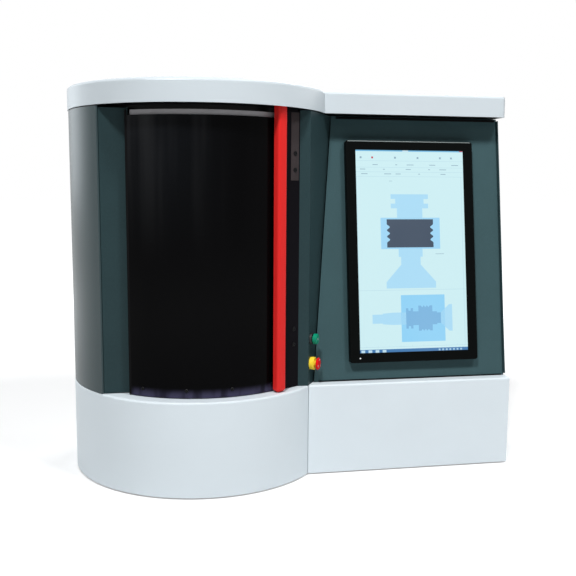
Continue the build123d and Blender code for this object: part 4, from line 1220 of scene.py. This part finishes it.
class SHAFT_OT_foot_nuts(bpy.types.Operator):
    """The hexagon nuts that lock the levelling feet"""

    bl_idname = "shaft.foot_nuts"
    bl_label = "Foot nuts"

    def execute(self, context):
        # The feet's points on the floor, gathered foot by foot
        on_floor, apart, nut_radius = 0.01 * MM, 60 * MM, 13 * MM
        feet = []
        for point in corners("levelling_feet"):
            if point.z > on_floor:
                continue
            near = [foot for foot in feet if (foot[0] - point).length < apart]
            if near:
                near[0].append(point)
            else:
                feet.append([point])
        flats = [around(nut_radius, math.pi / 3 * number) for number in range(6)]
        shape = bmesh.new()
        for foot in feet:
            point = sum(foot, Vector()) / len(foot)
            prism(shape, Matrix.Translation((point.x, point.y, 0)), flats, 16 * MM, 23.7 * MM, 0.8 * MM)
        made("foot_nuts", shape, "housing", "hard_steel")
        return {"FINISHED"}


def lamp(name, turn, rise, distance, size, power, colour=(1.0, 1.0, 1.0)):
    """A square lamp that points at the machine, from a turn to the right of its front and a rise above it."""
    target = Vector((0, 0, 0.55))
    turn, rise = math.radians(turn), math.radians(rise)
    way = Vector((math.sin(turn) * math.cos(rise), -math.cos(turn) * math.cos(rise), math.sin(rise)))
    light = bpy.data.lights.new(name, "AREA")
    light.shape = "SQUARE"
    light.size = size
    light.energy = power
    light.color = colour
    holder = shown(name, light)
    holder.location = target + distance * way
    holder.rotation_euler = (-way).to_track_quat("-Z", "Y").to_euler()


def seen(graph):
    """1 for what the camera sees directly, in a reflection or through glass."""
    path = graph.node("ShaderNodeLightPath", output="Is Camera Ray")
    return graph.limited(path + path.pick("Is Glossy Ray") + path.pick("Is Transmission Ray"))


class SHAFT_OT_stage(bpy.types.Operator):
    """The pale floor, the soft lamps, the white surroundings and the camera"""

    bl_idname = "shaft.stage"
    bl_label = "Stage"

    def execute(self, context):
        settings = context.scene.shaft_stage
        half = settings.floor / 2
        mesh = bpy.data.meshes.new("floor")
        mesh.from_pydata([(x, y, 0) for x, y in frame_of(-half, half, -half, half)], [], [(0, 1, 2, 3)])
        floor = shown("floor", mesh)
        pale = Finish("floor_finish", {"Roughness": 0.9, "Specular IOR Level": 0.0})
        cloud = pale.noise(0.7, 1.0)
        pale.set("Base Color", pale.mix(cloud, (0.76, 0.76, 0.76), (0.78, 0.78, 0.78)))
        away = pale.node("ShaderNodeVectorMath", {0: pale.place}, "Value", operation="LENGTH")
        glow = seen(pale) * (0.3 + 0.7 * pale.step(away, 1.3, 3.2))
        pale.set("Emission Color", pale.mix(glow, (0.0, 0.0, 0.0), (1.0, 1.0, 1.0)))
        pale.set("Emission Strength", 1.0)
        mesh.materials.append(pale.material)

        world = bpy.data.worlds.new("surroundings")
        world.use_nodes = True
        graph = Graph(world.node_tree)
        ground = world.node_tree.nodes["Background"]
        ground.inputs["Color"].default_value = (1.0, 1.0, 1.0, 1.0)
        direct = seen(graph)
        graph.feed(ground.inputs["Strength"], direct + (1.0 - direct) * settings.sky)
        context.scene.world = world

        lamp("key_lamp", -25, 54, 5.1, 0.6, settings.key)
        lamp("fill_lamp", 35, 54, 5.1, 0.8, settings.fill)
        lamp("low_lamp", 108, 15, 4.0, 1.6, settings.low)
        lamp("rim_lamp", -130, 15, 4.0, 2.0, settings.rim, (0.86, 0.94, 1.0))
        lamp("rear_lamp", 150, 45, 4.5, 1.2, settings.rear)

        data = bpy.data.cameras.new("camera")
        data.lens = settings.lens
        data.sensor_width = 36.0
        data.clip_start = 0.05
        camera = shown("camera", data)
        camera.matrix_world = (
            Matrix.Translation(settings.place)
            @ Matrix.Rotation(settings.yaw, 4, "Z")
            @ Matrix.Rotation(math.pi / 2 - settings.pitch, 4, "X")
            @ Matrix.Rotation(settings.roll, 4, "Z")
        )
        context.scene.camera = camera
        context.scene.view_settings.view_transform = "Standard"
        return {"FINISHED"}


OPERATORS = (
    SHAFT_OT_stage, SHAFT_OT_node_finishes, SHAFT_OT_window_screws, SHAFT_OT_strip_fittings,
    SHAFT_OT_screen_picture, SHAFT_OT_bezel_details, SHAFT_OT_button_details, SHAFT_OT_panel_screws,
    SHAFT_OT_panel_seals, SHAFT_OT_guide_screws, SHAFT_OT_ball_screw, SHAFT_OT_optics,
    SHAFT_OT_mains_details, SHAFT_OT_foot_nuts,
)
SETTINGS = {
    "shaft_housing": HousingSettings, "shaft_screen": ScreenSettings, "shaft_stage": StageSettings,
}


class SHAFT_PT_tools(bpy.types.Panel):
    """Lists the machine's settings and pieces"""

    bl_idname = "SHAFT_PT_tools"
    bl_label = "Shaft measuring machine"
    bl_space_type = "VIEW_3D"
    bl_region_type = "UI"
    bl_category = "Shaft machine"

    def draw(self, context):
        for name in SETTINGS:
            settings = getattr(context.scene, name)
            for key in settings.__annotations__:
                self.layout.prop(settings, key)
        for operator in OPERATORS:
            self.layout.operator(operator.bl_idname)


def register():
    """Adds the settings to the scene, then the operators and the panel."""
    for name, group in SETTINGS.items():
        bpy.utils.register_class(group)
        setattr(bpy.types.Scene, name, PointerProperty(type=group))
    for operator in OPERATORS:
        bpy.utils.register_class(operator)
    bpy.utils.register_class(SHAFT_PT_tools)


def unregister():
    """Takes everything away again, in reverse."""
    bpy.utils.unregister_class(SHAFT_PT_tools)
    for operator in reversed(OPERATORS):
        bpy.utils.unregister_class(operator)
    for name, group in SETTINGS.items():
        delattr(bpy.types.Scene, name)
        bpy.utils.unregister_class(group)


def main():
    """Registers the classes and builds every piece in order."""
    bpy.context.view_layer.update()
    register()
    for operator in OPERATORS:
        group, name = operator.bl_idname.split(".")
        if getattr(getattr(bpy.ops, group), name)() != {"FINISHED"}:
            raise RuntimeError(f"{operator.bl_label} did not finish")


if __name__ == "__main__":
    main()
